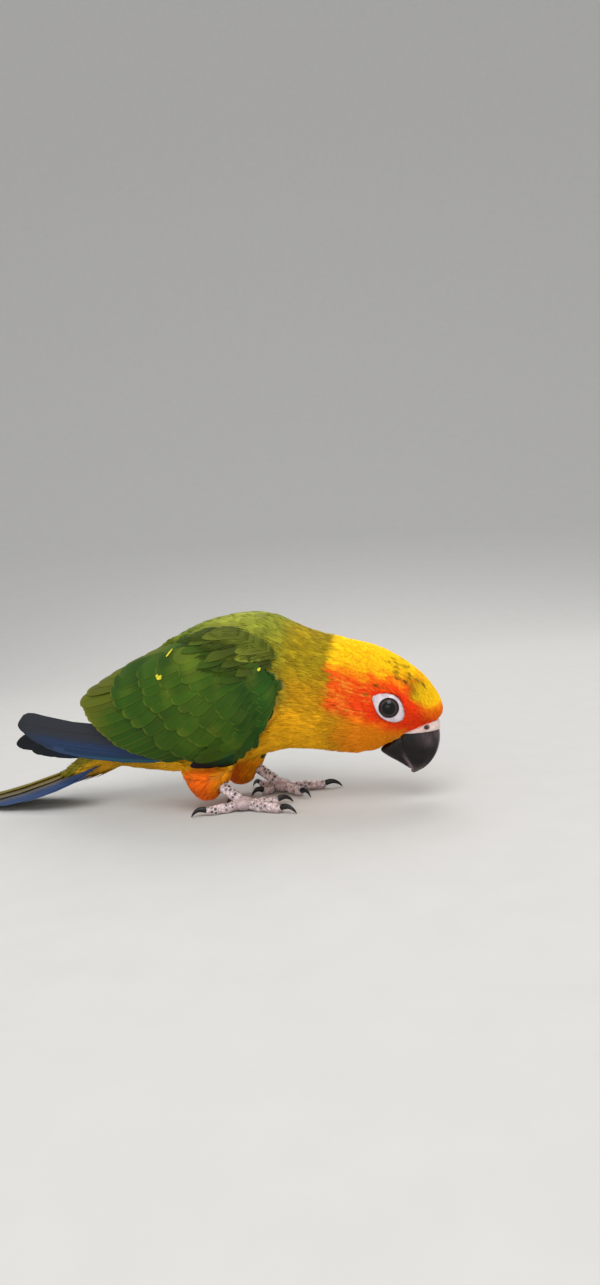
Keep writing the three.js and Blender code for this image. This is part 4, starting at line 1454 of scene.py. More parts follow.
@dataclass
class Coat:
    """Small body feathers laid over the skin in tracts."""

    skin: Object
    lie: Lie
    markings: Markings
    tracts: tuple[Tract, ...] = (
        Tract("face", 0.55, 3.7, 0.48, 0.5, Down.HAIR, 101, "head", 0.05),
        Tract("crown", 0.6, 5.4, 0.52, 0.65, Down.HAIR, 102, "head", 0.045),
        Tract("nape", 0.9, 6.8, 0.95, 1.1, Down.SOFT, 103, "neck", 0.08),
        Tract("neck", 1.05, 8.2, 1.4, 0.75, Down.SOFT, 104, "neck"),
        Tract("breast", 1.35, 9.5, 1.8, 0.65, Down.SOFT, 105, "torso"),
        Tract("mantle", 2.0, 9.5, 2.2, 0.6, Down.MIXED, 106, "torso", 0.14),
        Tract("belly", 1.5, 9.5, 1.9, 0.65, Down.SOFT, 107, "torso"),
        Tract("thigh", 1.1, 8.0, 1.1, 0.9, Down.SOFT, 108, "thigh"),
        Tract("tail_base", 2.1, 15.0, 2.4, 0.7, Down.FRAYED, 109, "tail"),
        Tract("lesser_coverts", 1.6, 6.0, 1.7, 0.35, Down.MIXED, 110, "wing"),
    )
    wing_tract: str = "lesser_coverts"
    tries: int = 7
    sway: float = 0.1
    sunk: float = 0.15
    thickness: float = 0.09

    def __post_init__(self) -> None:
        """Reads the skin's surface for the roots of the feathers."""
        mesh = self.skin.data
        mesh.calc_loop_triangles()
        self.points = drawn(mesh)
        corners, loops = (np.empty(len(mesh.loop_triangles) * 3, np.int32) for _ in range(2))
        mesh.loop_triangles.foreach_get("vertices", corners)
        mesh.loop_triangles.foreach_get("loops", loops)
        self.corners = corners.reshape(-1, 3)
        uv = np.empty(len(mesh.loops) * 2, np.float32)
        mesh.uv_layers["OFBake"].data.foreach_get("uv", uv)
        self.uv = uv.reshape(-1, 2)[loops.reshape(-1, 3)]
        self.tree = BVHTree.FromPolygons(self.points.tolist(), self.corners.tolist())
        a, b, c = (self.points[self.corners[:, k]] for k in range(3))
        cross = np.cross(b - a, c - a)
        self.area = np.linalg.norm(cross, axis=1) / 2
        self.normal = unit(cross)
        self.tract_of = self.sort((a + b + c) / 3, self.normal)
        self.shapes = {kind: kind.forms() for kind in Down}

    def sort(self, points: Array, normal: Array) -> Array:
        """Sorts places on the skin into tracts.

        Args:
            points: Drawing points.
            normal: The skin's directions outwards there.

        Returns:
            The name of each one's tract, or nothing where no feather grows.
        """
        x, side, z = points[:, 0], np.abs(points[:, 1]), points[:, 2]
        _, station, height = self.lie.read(points)
        names = np.where(station > 13.2, "face", np.where(station > 9.8, "crown", "nape")).astype(object)
        names[(station > 9.8) & (height < 0.62)] = "face"
        names[(station <= 11.2) & (height < 0.5)] = "nape"
        names[station <= 9.2] = "neck"
        names[station <= 7.6] = "breast"
        names[(station <= 6.6) & (height > 0.5)] = "mantle"
        names[(station <= 5.5) & (height <= 0.5)] = "belly"
        names[(z < 24.5) & (side > 3.5) & (x < -84) & (x > -121)] = "thigh"
        names[x < -152] = "tail_base"
        names[WingSurface.contains(points) & (normal[:, 1] * points[:, 1] > 0)] = self.wing_tract
        turn = np.arctan2(z - EYE[1], x - EYE[0])
        eye = (side > 6) & (np.hypot((x - EYE[0]) / 0.93, z - EYE[1]) < Face.reach(turn) - 0.7)
        bill = (z < 36.4 + 0.1 * x) & (x > -23.5) & (z > 22) & (x > -0.9 * (z - 12.5))
        cere = (x > -14.5) & (z < 38.2 + 0.26 * x) & (z > 33)
        names[eye | bill | cere] = ""
        return names

    def roots(self, tract: Tract) -> tuple[Array, ...]:
        """Places feathers evenly at random over a tract.

        Args:
            tract: The tract.

        Returns:
            The roots, the skin's normals there, and their places on the unwrapped skin.
        """
        draw = np.random.default_rng(tract.seed)
        members = np.flatnonzero(self.tract_of == tract.name)
        area = self.area[members]
        count = int(area.sum() / tract.spacing ** 2 * self.tries)
        chosen = members[draw.choice(len(members), count, p=area / area.sum())]
        share = draw.uniform(size=(count, 2))
        share = np.where(share.sum(1, keepdims=True) > 1, 1 - share, share)
        weight = np.column_stack((1 - share.sum(1), share))
        place = np.einsum("nk,nkc->nc", weight, self.points[self.corners[chosen]])
        flat = np.einsum("nk,nkc->nc", weight, self.uv[chosen])
        tree = KDTree(count)
        for index, point in enumerate(place):
            tree.insert(point, index)
        tree.balance()
        taken = np.zeros(count, bool)
        kept = []
        for index in range(count):
            if not taken[index]:
                kept.append(index)
                for _, other, _ in tree.find_range(place[index], tract.spacing):
                    taken[other] = True
        return place[kept], self.normal[chosen[kept]], flat[kept]

    def follow(self, points: Array) -> tuple[Array, Array]:
        """Nearest places of the skin and its normals there."""
        found = [self.tree.find_nearest(p) for p in points]
        return np.array([f[0] for f in found]), np.array([f[1] for f in found])

    def lay(self, tract: Tract, material: Material) -> list[Object]:
        """Lays the feathers of one tract along the skin.

        Args:
            tract: The tract.
            material: Finish of the feathers.

        Returns:
            The joined pieces.
        """
        draw = np.random.default_rng(tract.seed + 500)
        place, normal, flat = self.roots(tract)
        on_wing = tract.name == self.wing_tract
        way, _, _ = self.lie.read(place)
        if on_wing:
            fall = np.interp(place[:, 2], (26, 50, 84), (-0.6, -0.8, -0.25))
            way = unit(np.stack((-np.ones(len(place)), np.zeros(len(place)), fall), 1))
        count = len(place)
        turn = draw.normal(0, self.sway, count)[:, None]
        way = unit(way + np.cross(normal, way) * turn)
        length = tract.length * draw.uniform(0.86, 1.14, count)[:, None]
        first = unit(way - normal * np.sum(way * normal, 1, keepdims=True))
        middle, middle_normal = self.follow(place + first * length * 0.5)
        second = unit(first - middle_normal * np.sum(first * middle_normal, 1, keepdims=True))
        tip, tip_normal = self.follow(middle + second * length * 0.5)
        lift = tract.lift * draw.uniform(0.75, 1.3, count)[:, None]
        path = np.stack((place - normal * self.sunk, middle + middle_normal * lift * 0.62,
                         tip + tip_normal * lift), 1)
        normals = unit(np.stack((normal, middle_normal, tip_normal), 1))
        half = tract.half * draw.uniform(0.88, 1.12, count)
        if on_wing:
            tint = self.markings.wing(place)
        else:
            tint = self.markings.body(place + first * length * 0.5)
            free = ~WingSurface.contains(tip) | ((place[:, 0] < -56) & (place[:, 2] > 66))
            path, normals, half, tint, flat = (a[free] for a in (path, normals, half, tint, flat))
        tint = tint * draw.uniform(1 - tract.variety, 1 + tract.variety, (len(tint), 1))
        fringe = self.fringe(tract, tint)
        plumes = Plumes(f"coat_{tract.name}", material)
        forms = self.shapes[tract.kind]
        for index, form in enumerate(forms):
            part = slice(index, None, len(forms))
            points = self.shape(form, path[part], normals[part], half[part])
            plumes.add(form, points, tint[part], fringe[part], flat[part], tract.seed + index)
        pieces = plumes.build()
        return pieces

    def shape(self, form: Form, path: Array, normals: Array, half: Array) -> Array:
        """Bends the form along every path.

        Args:
            form: Form of the feathers.
            path: Root, middle and tip of each feather.
            normals: Directions away from the skin at these.
            half: Half widths.

        Returns:
            Points of every vertex of every feather.
        """
        v = form.along
        basis = np.stack(((1 - v) * (1 - 2 * v), 4 * v * (1 - v), v * (2 * v - 1)), 1)
        slope = np.stack((4 * v - 3, 4 - 8 * v, 4 * v - 1), 1)
        centre = np.einsum("kb,nbc->nkc", basis, path)
        along = unit(np.einsum("kb,nbc->nkc", slope, path))
        up = unit(np.einsum("kb,nbc->nkc", basis, normals))
        across = unit(np.cross(up, along))
        wide = (form.across * form.wide)[None, :, None] * half[:, None, None]
        cup = (np.abs(form.across) ** 2 * form.wide * form.cup)[None, :, None] * half[:, None, None]
        thick = (form.deep * self.thickness)[None, :, None]
        return centre + across * wide - up * (cup + thick)

    def fringe(self, tract: Tract, tint: Array) -> Array:
        """Edge colours of a tract's feathers.

        Args:
            tract: The tract.
            tint: Main colours of its feathers.

        Returns:
            The colours.
        """
        if tract.name == self.wing_tract:
            return tint * 0.6 + Shade.covert_fringe * 0.4
        if tract.name in ("mantle", "tail_base"):
            return tint * 0.55 + Shade.covert_fringe * 0.6
        return np.minimum(tint * 1.35 + 0.01, 1)


@dataclass(frozen=True)
class Tier:
    """One tier of wing feathers on the wing surface, lowest feather first, in drawing millimetres.

    Roots and tips are points of the side view that the feathers start and end on. Bows and webs are the
    bend and the two half widths, and depths are places along the bird with the depth under the surface.
    """

    name: str
    count: int
    roots: tuple
    tips: tuple
    bows: tuple[float, float]
    webs: tuple[float, float]
    depths: tuple
    tilt: float
    thick: float
    outline: Outline
    hangs: bool = False
    camber: float = 0.03

    @property
    def plumes(self) -> str:
        """Name of the set that its feathers join."""
        long = (Outline.PADDLE, Outline.FLIGHT, Outline.BROAD)
        return "flight_feathers" if self.outline in long else "coverts"

    @property
    def loose(self) -> float:
        """How far its tips stray, in millimetres."""
        return {Outline.ROUND: 0.8, Outline.POINTED: 1.5}.get(self.outline, 0.15)


@dataclass(frozen=True)
class Hang:
    """How the long feathers at one wing's tip hang."""

    outline: Outline = Outline.PADDLE
    droop: float = 0.0
    reach: float = 0.0
    closing: float = 1.0
    # Share of the primaries' colour that is kept; below 1 it is painted shade on the far wing's tips.
    shade: float = 1.0
    fork: float = 0.0
    fork_length: float = 0.935
    fork_drop: float = 3.6


# The far, left wing's primaries keep 0.3 of their colour as painted shade.
HANGS = {Side.RIGHT: Hang(), Side.LEFT: Hang(Outline.FLIGHT, 12.5, 15.0, 0.7, 0.3, 0.5)}


@dataclass
class Wing:
    """Flight feathers and larger coverts of one folded wing."""

    side: Side
    flight: Material
    covert: Material
    tiers: tuple[Tier, ...] = (
        Tier("primaries", 6, ((-92, 29), (-95, 31.5), (-98, 34.5)), ((-199, 43.6), (-205, 46.4),
             (-207.6, 48.4), (-208.4, 49.6), (-208.4, 50.4)), (-6.5, -3), (5.0, 7.6), ((-212, 2.2),
             (-195, 2.9), (-180, 3.7), (-166, 4.9), (-150, 5.8), (-140, 5.8), (-120, 5.2), (-90, 5)), 0.1,
             0.1, Outline.PADDLE, hangs=True),
        Tier("secondaries", 15, ((-88, 40), (-101, 59), (-107, 74)),
             ((-124, 28.5), (-143, 36), (-157, 47), (-166, 59)), (-1.5, 0), (4.6, 5.6), ((-170, 1.3),
             (-155, 1.9), (-140, 3), (-120, 4), (-90, 4.1)), 0.045, 0.06, Outline.BROAD),
        Tier("tertials", 5, ((-107, 75.5), (-104, 79), (-100, 82)),
             ((-163, 63.5), (-155, 68.5), (-144, 74), (-130, 79)), (0, 1), (4.4, 5.0),
             ((-160, 1.2), (-140, 1.8), (-115, 2.6), (-90, 3.4)), 0.05, 0.06, Outline.BROAD),
        Tier("greater_coverts", 10, ((-86, 45), (-100, 60), (-111, 71), (-114, 78)), ((-108, 27.5),
             (-121, 38.5), (-136, 49), (-146, 61), (-143, 71)), (-0.6, 0), (5.0, 5.6),
             ((-147, 0.9), (-125, 1.3), (-100, 1.7), (-75, 1.9)), 0.035, 0.06, Outline.ROUND),
        Tier("median_coverts", 11, ((-78, 50), (-92, 64), (-104, 77)),
             ((-95, 33), (-108, 44), (-122, 57), (-128, 70)), (0, 0), (4.4, 4.9),
             ((-125, 0.45), (-90, 0.8), (-70, 1.1)), 0.035, 0.06, Outline.ROUND),
        Tier("small_coverts", 12, ((-72, 54), (-85, 68), (-97, 79)),
             ((-86, 37.5), (-98, 50), (-111, 63), (-116, 74)), (0, 0), (3.9, 4.2),
             ((-125, 0.15), (-90, 0.4), (-70, 0.75)), 0.035, 0.06, Outline.ROUND),
        Tier("least_coverts", 13, ((-68, 58), (-79, 71), (-90, 80)),
             ((-79, 43), (-90, 56), (-102, 68), (-106, 77)), (0, 0), (3.4, 3.7),
             ((-125, -0.15), (-90, 0.05), (-70, 0.4)), 0.035, 0.06, Outline.ROUND),
        Tier("edge_coverts", 6, ((-75, 41), (-77, 36.5), (-80, 33), (-84, 30.6)),
             ((-101, 31.5), (-105.5, 28), (-107, 26), (-97, 25.2)), (-1.5, -0.5), (3.0, 3.3),
             ((-125, 0.2), (-90, 0.4), (-70, 0.8)), 0.06, 0.08, Outline.FLIGHT),
        Tier("inner_margin", 30, ((-80, 74), (-71, 68.5), (-66.5, 62), (-66.5, 54.5), (-71.5, 46),
             (-79, 38.5)), ((-91, 70), (-82, 63), (-76, 55.5), (-75.5, 46.5), (-80.5, 39), (-89, 34)),
             (0, 0), (2.4, 2.4), ((-100, 0.1), (-85, 0.2), (-66, 0.5)), 0.05, 0.06, Outline.ROUND),
        Tier("margin", 40, ((-74, 75), (-66, 69.5), (-61.5, 63), (-62, 55), (-68.8, 45.5), (-77, 37.2),
             (-87, 30.2)), ((-83, 73), (-74, 66), (-68.5, 57.5), (-68.5, 47), (-74, 38), (-82.5, 31.2),
             (-94, 26.5)), (0, 0), (2.0, 2.0), ((-90, 0.4), (-70, 0.3), (-60, 0.5)), 0.05, 0.06,
             Outline.ROUND),
        Tier("scapulars", 12, ((-64, 69), (-68, 74), (-75, 79), (-84, 83)),
             ((-81, 64), (-90, 68.5), (-98, 74), (-111, 80.5)), (0.8, 1), (3.2, 3.4), ((-110, -0.4),
             (-90, -0.5), (-78, -0.2), (-70, 0.6), (-62, 2)), 0.06, 0.07, Outline.POINTED, camber=0.04),
        Tier("middle_scapulars", 12, ((-62, 71), (-66, 76), (-74, 81), (-84, 85)),
             ((-77, 67.5), (-85, 73), (-93, 78), (-104, 82.5)), (0.8, 1), (3.0, 3.3), ((-110, -0.7),
             (-90, -0.8), (-76, -0.4), (-68, 0.5), (-60, 2)), 0.06, 0.07, Outline.POINTED, camber=0.04),
        Tier("upper_scapulars", 11, ((-60, 74), (-65, 79), (-75, 84)),
             ((-74, 72), (-81, 77.5), (-95, 83.5)), (0.8, 1), (2.9, 3.2), ((-110, -1.0), (-90, -1.1),
             (-76, -0.6), (-67, 0.6), (-59, 2.2)), 0.06, 0.07, Outline.POINTED, camber=0.04),
    )
    yellow_tips: tuple = ((-115, 66.2, 2.6, 0.0), (-116.6, 67.8, 2.2, -0.05), (-114.2, 67.9, 1.7, -0.1),
                          (-110, 78.4, 1.8, -0.3), (-66.5, 67.6, 1.3, -0.9))
    scapular_levels: tuple = (("scapulars", 0.95), ("middle_scapulars", 0.7), ("upper_scapulars", 0.4))
    across: int = 6

    def __post_init__(self) -> None:
        """Starts the random draw and models the forms."""
        self.hang = HANGS[self.side]
        self.draw = np.random.default_rng(41 + self.side.value)
        self.forms = {outline: VaneForm(outline.value, self.across) for outline in Outline}
        self.frayed = TuftForm(9, 0.6, 0.17, 0.45, 31)

    def feather(self, tier: Tier, form: Form, share: float) -> tuple[Array, ...]:
        """One feather of a tier.

        Args:
            tier: Its tier.
            form: Its form.
            share: Its place in the tier, from 0 to 1.

        Returns:
            The points of its vertices, and the x and height of its centre line there.
        """
        root = smooth_line(np.array(tier.roots), np.array(share))
        tip = smooth_line(np.array(tier.tips), np.array(share))
        if tier.hangs:
            tip = root + (tip - root) * (1 + self.hang.reach / 110)
        tip = root + (tip - root) * (1 + self.draw.normal(0, 0.004))
        tip = tip + self.draw.normal(0, tier.loose, 2)
        webs = np.array(tier.webs) * (1 + self.draw.normal(0, 0.05))
        if tier.hangs:
            webs = webs * self.hang.closing
            if share < self.hang.fork:
                tip = root + (tip - root) * self.hang.fork_length - np.array((0, self.hang.fork_drop))
        bow = tier.bows[0] + (tier.bows[1] - tier.bows[0]) * share
        along = form.along
        x = root[0] + (tip[0] - root[0]) * along
        z = root[1] + (tip[1] - root[1]) * along + bow * 4 * along * (1 - along)
        if tier.hangs:
            z = z - self.hang.droop * (np.maximum(-95 - x, 0) / 115) ** 3
        way = (tip - root) / np.linalg.norm(tip - root)
        offset = form.across * form.wide * np.where(form.across < 0, webs[0], webs[1])
        angle = WingSurface.angle(x, z)
        surface = WingSurface.point(x, angle, 0 * x)
        reach = np.hypot(surface[:, 1], surface[:, 2] - WingSurface.section(x)[0])
        table = np.array(tier.depths, float)
        depth = np.interp(x, table[:, 0], table[:, 1]) + tier.tilt * offset + tier.thick * form.deep
        camber = tier.camber * np.abs(form.across) ** 2 * form.wide
        depth = depth + camber + self.draw.normal(0, 0.015)
        points = WingSurface.point(x + way[1] * offset, angle - way[0] * offset / reach, depth)
        return points, x, z

    def tones(self, tier: Tier, form: Form, x: Array, z: Array,
              share: float) -> tuple[Array, Array]:
        """Colours of one feather.

        Args:
            tier: Its tier.
            form: Its form.
            x: Places of its vertices along the bird.
            z: Their heights.
            share: Its place in the tier, from 0 to 1.

        Returns:
            Main and edge colours of its vertices.
        """
        across, along = form.across, form.along
        if tier.name == "primaries":
            lower = ramp(0.9, 0.3, share + 0.35 * across) * ramp(1.0, 0.8, along)
            main = painted(Shade.primary_inner, (Shade.primary, lower),
                           (Shade.primary_fringe, ramp(0.3, 0, share) * ramp(0.85, 0.4, along) * 0.5))
            # Darkened on the far wing: painted shade.
            main = main * self.hang.shade
            return main, mixed(main * 0.65, Shade.primary_fringe, 0.06)
        if tier.name == "edge_coverts":
            main = painted(Shade.wing_edge, (Shade.wing_edge_tip, ramp(0.55, 0.9, along)),
                           (Shade.covert, ramp(0.45, 0.1, share)))
            return main, main * 1.2
        if tier.name == "tertials":
            main = mixed(Shade.covert, Shade.tertial, ramp(0.3, 0.9, along))
            return main, main * 0.6 + Shade.secondary_fringe * 0.4
        if tier.name == "secondaries":
            web = ramp(0.1, 0.9, across) * 0.4 * ramp(0.8, 0.4, share)
            main = painted(Shade.secondary, (Shade.tertial, ramp(0.75, 1, share) * 0.8),
                           (Shade.tertial, ramp(0.75, 1, along) * ramp(0.45, 0.85, share)),
                           (Shade.primary, web))
            return main, main * 0.45 + Shade.secondary_fringe * 0.5
        level = dict(self.scapular_levels).get(tier.name)
        if level is not None:
            main = mixed(Shade.mantle, Shade.covert, level)
            # Darker towards the root, and more so the lower the row: painted shade between scapulars and
            # coverts.
            main = mixed(main * (1.0 - 0.5 * level), main, ramp(0.45, 0.9, along))
            main = main * self.draw.uniform(0.66, 0.96)
            return main, main * 0.6 + Shade.covert_fringe * 0.4
        main = Markings.wing(np.stack((x, 0 * x, z), 1))
        return main, main * 0.25 + Shade.covert_fringe * 0.8

    def build(self) -> list[Object]:
        """Builds the wing's feathers, which stand for the wing's solid.

        Returns:
            The pieces.
        """
        sets = {name: Plumes(f"wing_{name}_{self.side.label}", finish)
                for name, finish in (("flight_feathers", self.flight), ("coverts", self.covert))}
        for tier in self.tiers:
            full = self.forms[self.hang.outline if tier.hangs else tier.outline]
            for index in range(tier.count):
                share = index / (tier.count - 1)
                form = self.frayed if "scapulars" in tier.name and index % 3 else full
                points, x, z = self.feather(tier, form, share)
                tint, fringe = self.tones(tier, form, x, z, share)
                tint = tint * self.draw.uniform(0.84, 1.14)
                flat = np.array(((0.1 + 0.8 * share, 0.1 + 0.8 * index / tier.count),))
                seed = int(self.draw.integers(1, 9999))
                points = self.side.turn(points)[None]
                sets[tier.plumes].add(form, points, tint[None], fringe[None], flat, seed)
        self.yellow(sets["coverts"])
        pieces = [piece for plumes in sets.values() for piece in plumes.build()]
        for piece in pieces:
            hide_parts(f"wing_{self.side.label}")
        return pieces

    def yellow(self, plumes: Plumes) -> None:
        """Adds the few stray yellow feathers.

        Args:
            plumes: Set that they join.
        """
        form = self.forms[Outline.ROUND]
        tint = Shade.yellow_spot[None]
        for x, z, size, depth in self.yellow_tips:
            tier = Tier("yellow", 1, ((x + size, z + size * 0.7),) * 2, ((x, z),) * 2, (0, 0),
                        (size * 0.36,) * 2, ((-120, depth), (-60, depth)), 0.05, 0.1, Outline.ROUND)
            points, _, _ = self.feather(tier, form, 0)
            plumes.add(form, self.side.turn(points)[None], tint, tint, np.array(((0.5, 0.5),)), 5)


@dataclass
class Tail:
    """Tail feathers along the tail's line, with the long coverts over and under their roots."""

    material: Material
    ranks: tuple = ((1, 1.2, 2.6), (0.94, 2.6, 5), (0.85, 3.9, 7), (0.75, 5, 8.6), (0.63, 5.9, 10),
                    (0.5, 6.6, 11))
    covert_rows: tuple = ((3.4, 0.3, 4.4), (4.6, 0.22, 4.6), (-6.8, 0.25, 4.4), (-7.6, 0.19, 4.4))
    coverts_a_row: int = 7
    root_share: float = 0.06
    web: float = 5.6
    outer_web: float = 4.6
    step: float = 0.9
    slope: float = 0.42
    thickness: float = 0.16
    seed: int = 77

    def __post_init__(self) -> None:
        """Starts the random draw."""
        self.draw = np.random.default_rng(self.seed)

    @staticmethod
    def frame(shares: Array) -> tuple[Array, Array]:
        """Places on the tail's middle line.

        Args:
            shares: Shares of the line's length.

        Returns:
            The places, and the directions up from the line.
        """
        dense = smooth_line(TAIL_LINE, np.linspace(0, 1, 200))
        length = np.concatenate(((0,), np.cumsum(np.linalg.norm(np.diff(dense, axis=0), axis=1))))

        def at(share: Array) -> Array:
            """The line's x and height at shares of its length."""
            return np.stack([np.interp(share * length[-1], length, dense[:, k]) for k in range(2)], 1)

        ahead = unit(at(shares + 0.005) - at(shares - 0.005))
        x, z = at(shares).T
        return np.stack((x, 0 * x, z), 1), np.stack((ahead[:, 1], 0 * x, -ahead[:, 0]), 1)

    def feather(self, form: Form, sign: float, start: float, end: float, shafts: tuple[float, float],
                webs: tuple[float, float], level: float) -> Array:
        """One feather between two shares of the line.

        Args:
            form: Its form.
            sign: Its side: -1 for the right, 1 for the left.
            start: Share of the line where it starts.
            end: Share where it ends.
            shafts: Distance of its shaft from the middle at root and tip.
            webs: Width of its inner and outer web.
            level: Its height over the line.

        Returns:
            Points of its vertices.
        """
        way = start + (end - start) * form.along
        place, up = self.frame(way)
        shaft = shafts[0] + (shafts[1] - shafts[0]) * np.sqrt(form.along)
        offset = form.across * form.wide * np.where(form.across < 0, webs[0], webs[1])
        height = level * (1 - 0.28 * way) * (0.6 + 0.4 * np.minimum(form.along * 3, 1))
        fall = self.slope * (1 - 0.6 * way) * (np.abs(shaft) > 0.6)
        height = height - self.thickness * form.deep - fall * offset
        height = height - 0.2 * np.abs(form.across) ** 2 * form.wide
        points = place + up * height[:, None]
        points[:, 1] = sign * (shaft + offset)
        points[:, 2] = np.maximum(points[:, 2], FLOOR + 0.05)
        return points

    def build(self) -> list[Object]:
        """Builds the tail's feathers, which stand for the tail's solid.

        Returns:
            The pieces.
        """
        plumes = Plumes("tail_feathers", self.material)
        form = VaneForm(Outline.FLIGHT.value, 6)
        along = form.along
        brown = mixed(Shade.tail_olive, Shade.tail_brown, ramp(0.2, 0.6, along) * 0.7)
        for rank, (length, at_root, at_tip) in enumerate(self.ranks):
            for side in Side:
                level = -self.step * (rank + (0 if rank == 0 and side is Side.RIGHT else 1)) + 0.3
                inner = self.web if rank == 0 else min(self.web, (at_root + at_tip) / 2 - 0.35)
                end = length * self.draw.uniform(0.985, 1.0)
                points = self.feather(form, side.value, self.root_share, end, (at_root, at_tip),
                                      (inner, self.outer_web), level)
                blue = ramp(-0.3, 0.4, form.across) * min(0.25 + rank * 0.3, 1)
                tint = painted(brown, (Shade.tail_blue, blue), (Shade.tail_tip, ramp(0.72, 1, along) * 0.8))
                fringe = mixed(tint, Shade.tail_olive, 0.5)
                flat = np.array(((0.1 + 0.06 * rank, 0.45 + 0.05 * side.value),))
                plumes.add(form, points[None], tint[None], fringe[None], flat, 300 + rank * 2 + side.value)
        self.coverts(plumes)
        pieces = plumes.build()
        for piece in pieces:
            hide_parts("tail")
        return pieces

    def coverts(self, plumes: Plumes) -> None:
        """Adds rows of coverts over and under the root of the tail.

        Args:
            plumes: Set that they join.
        """
        form = TuftForm(9, 0.5, 0.2, 0.45, 11)
        half = self.coverts_a_row // 2
        for level, reach, spread in self.covert_rows:
            for index in range(self.coverts_a_row):
                place = (index - half) / half
                height = level - np.sign(level) * (abs(place) * 2 - (index % 2) * 0.5)
                end = reach - abs(place) * 0.05 + self.draw.normal(0, 0.006)
                points = self.feather(form, 1, 0.02, end, (place * spread * 0.8, place * spread),
                                      (3.0, 3.0), height)
                tint = (Shade.rump if level > 0 else Shade.vent) * self.draw.uniform(0.9, 1.1)
                flat = np.array(((0.5 + 0.03 * index, 0.4 if level > 0 else 0.6),))
                plumes.add(form, points[None], tint[None], (tint * 1.3)[None], flat, 400 + index)


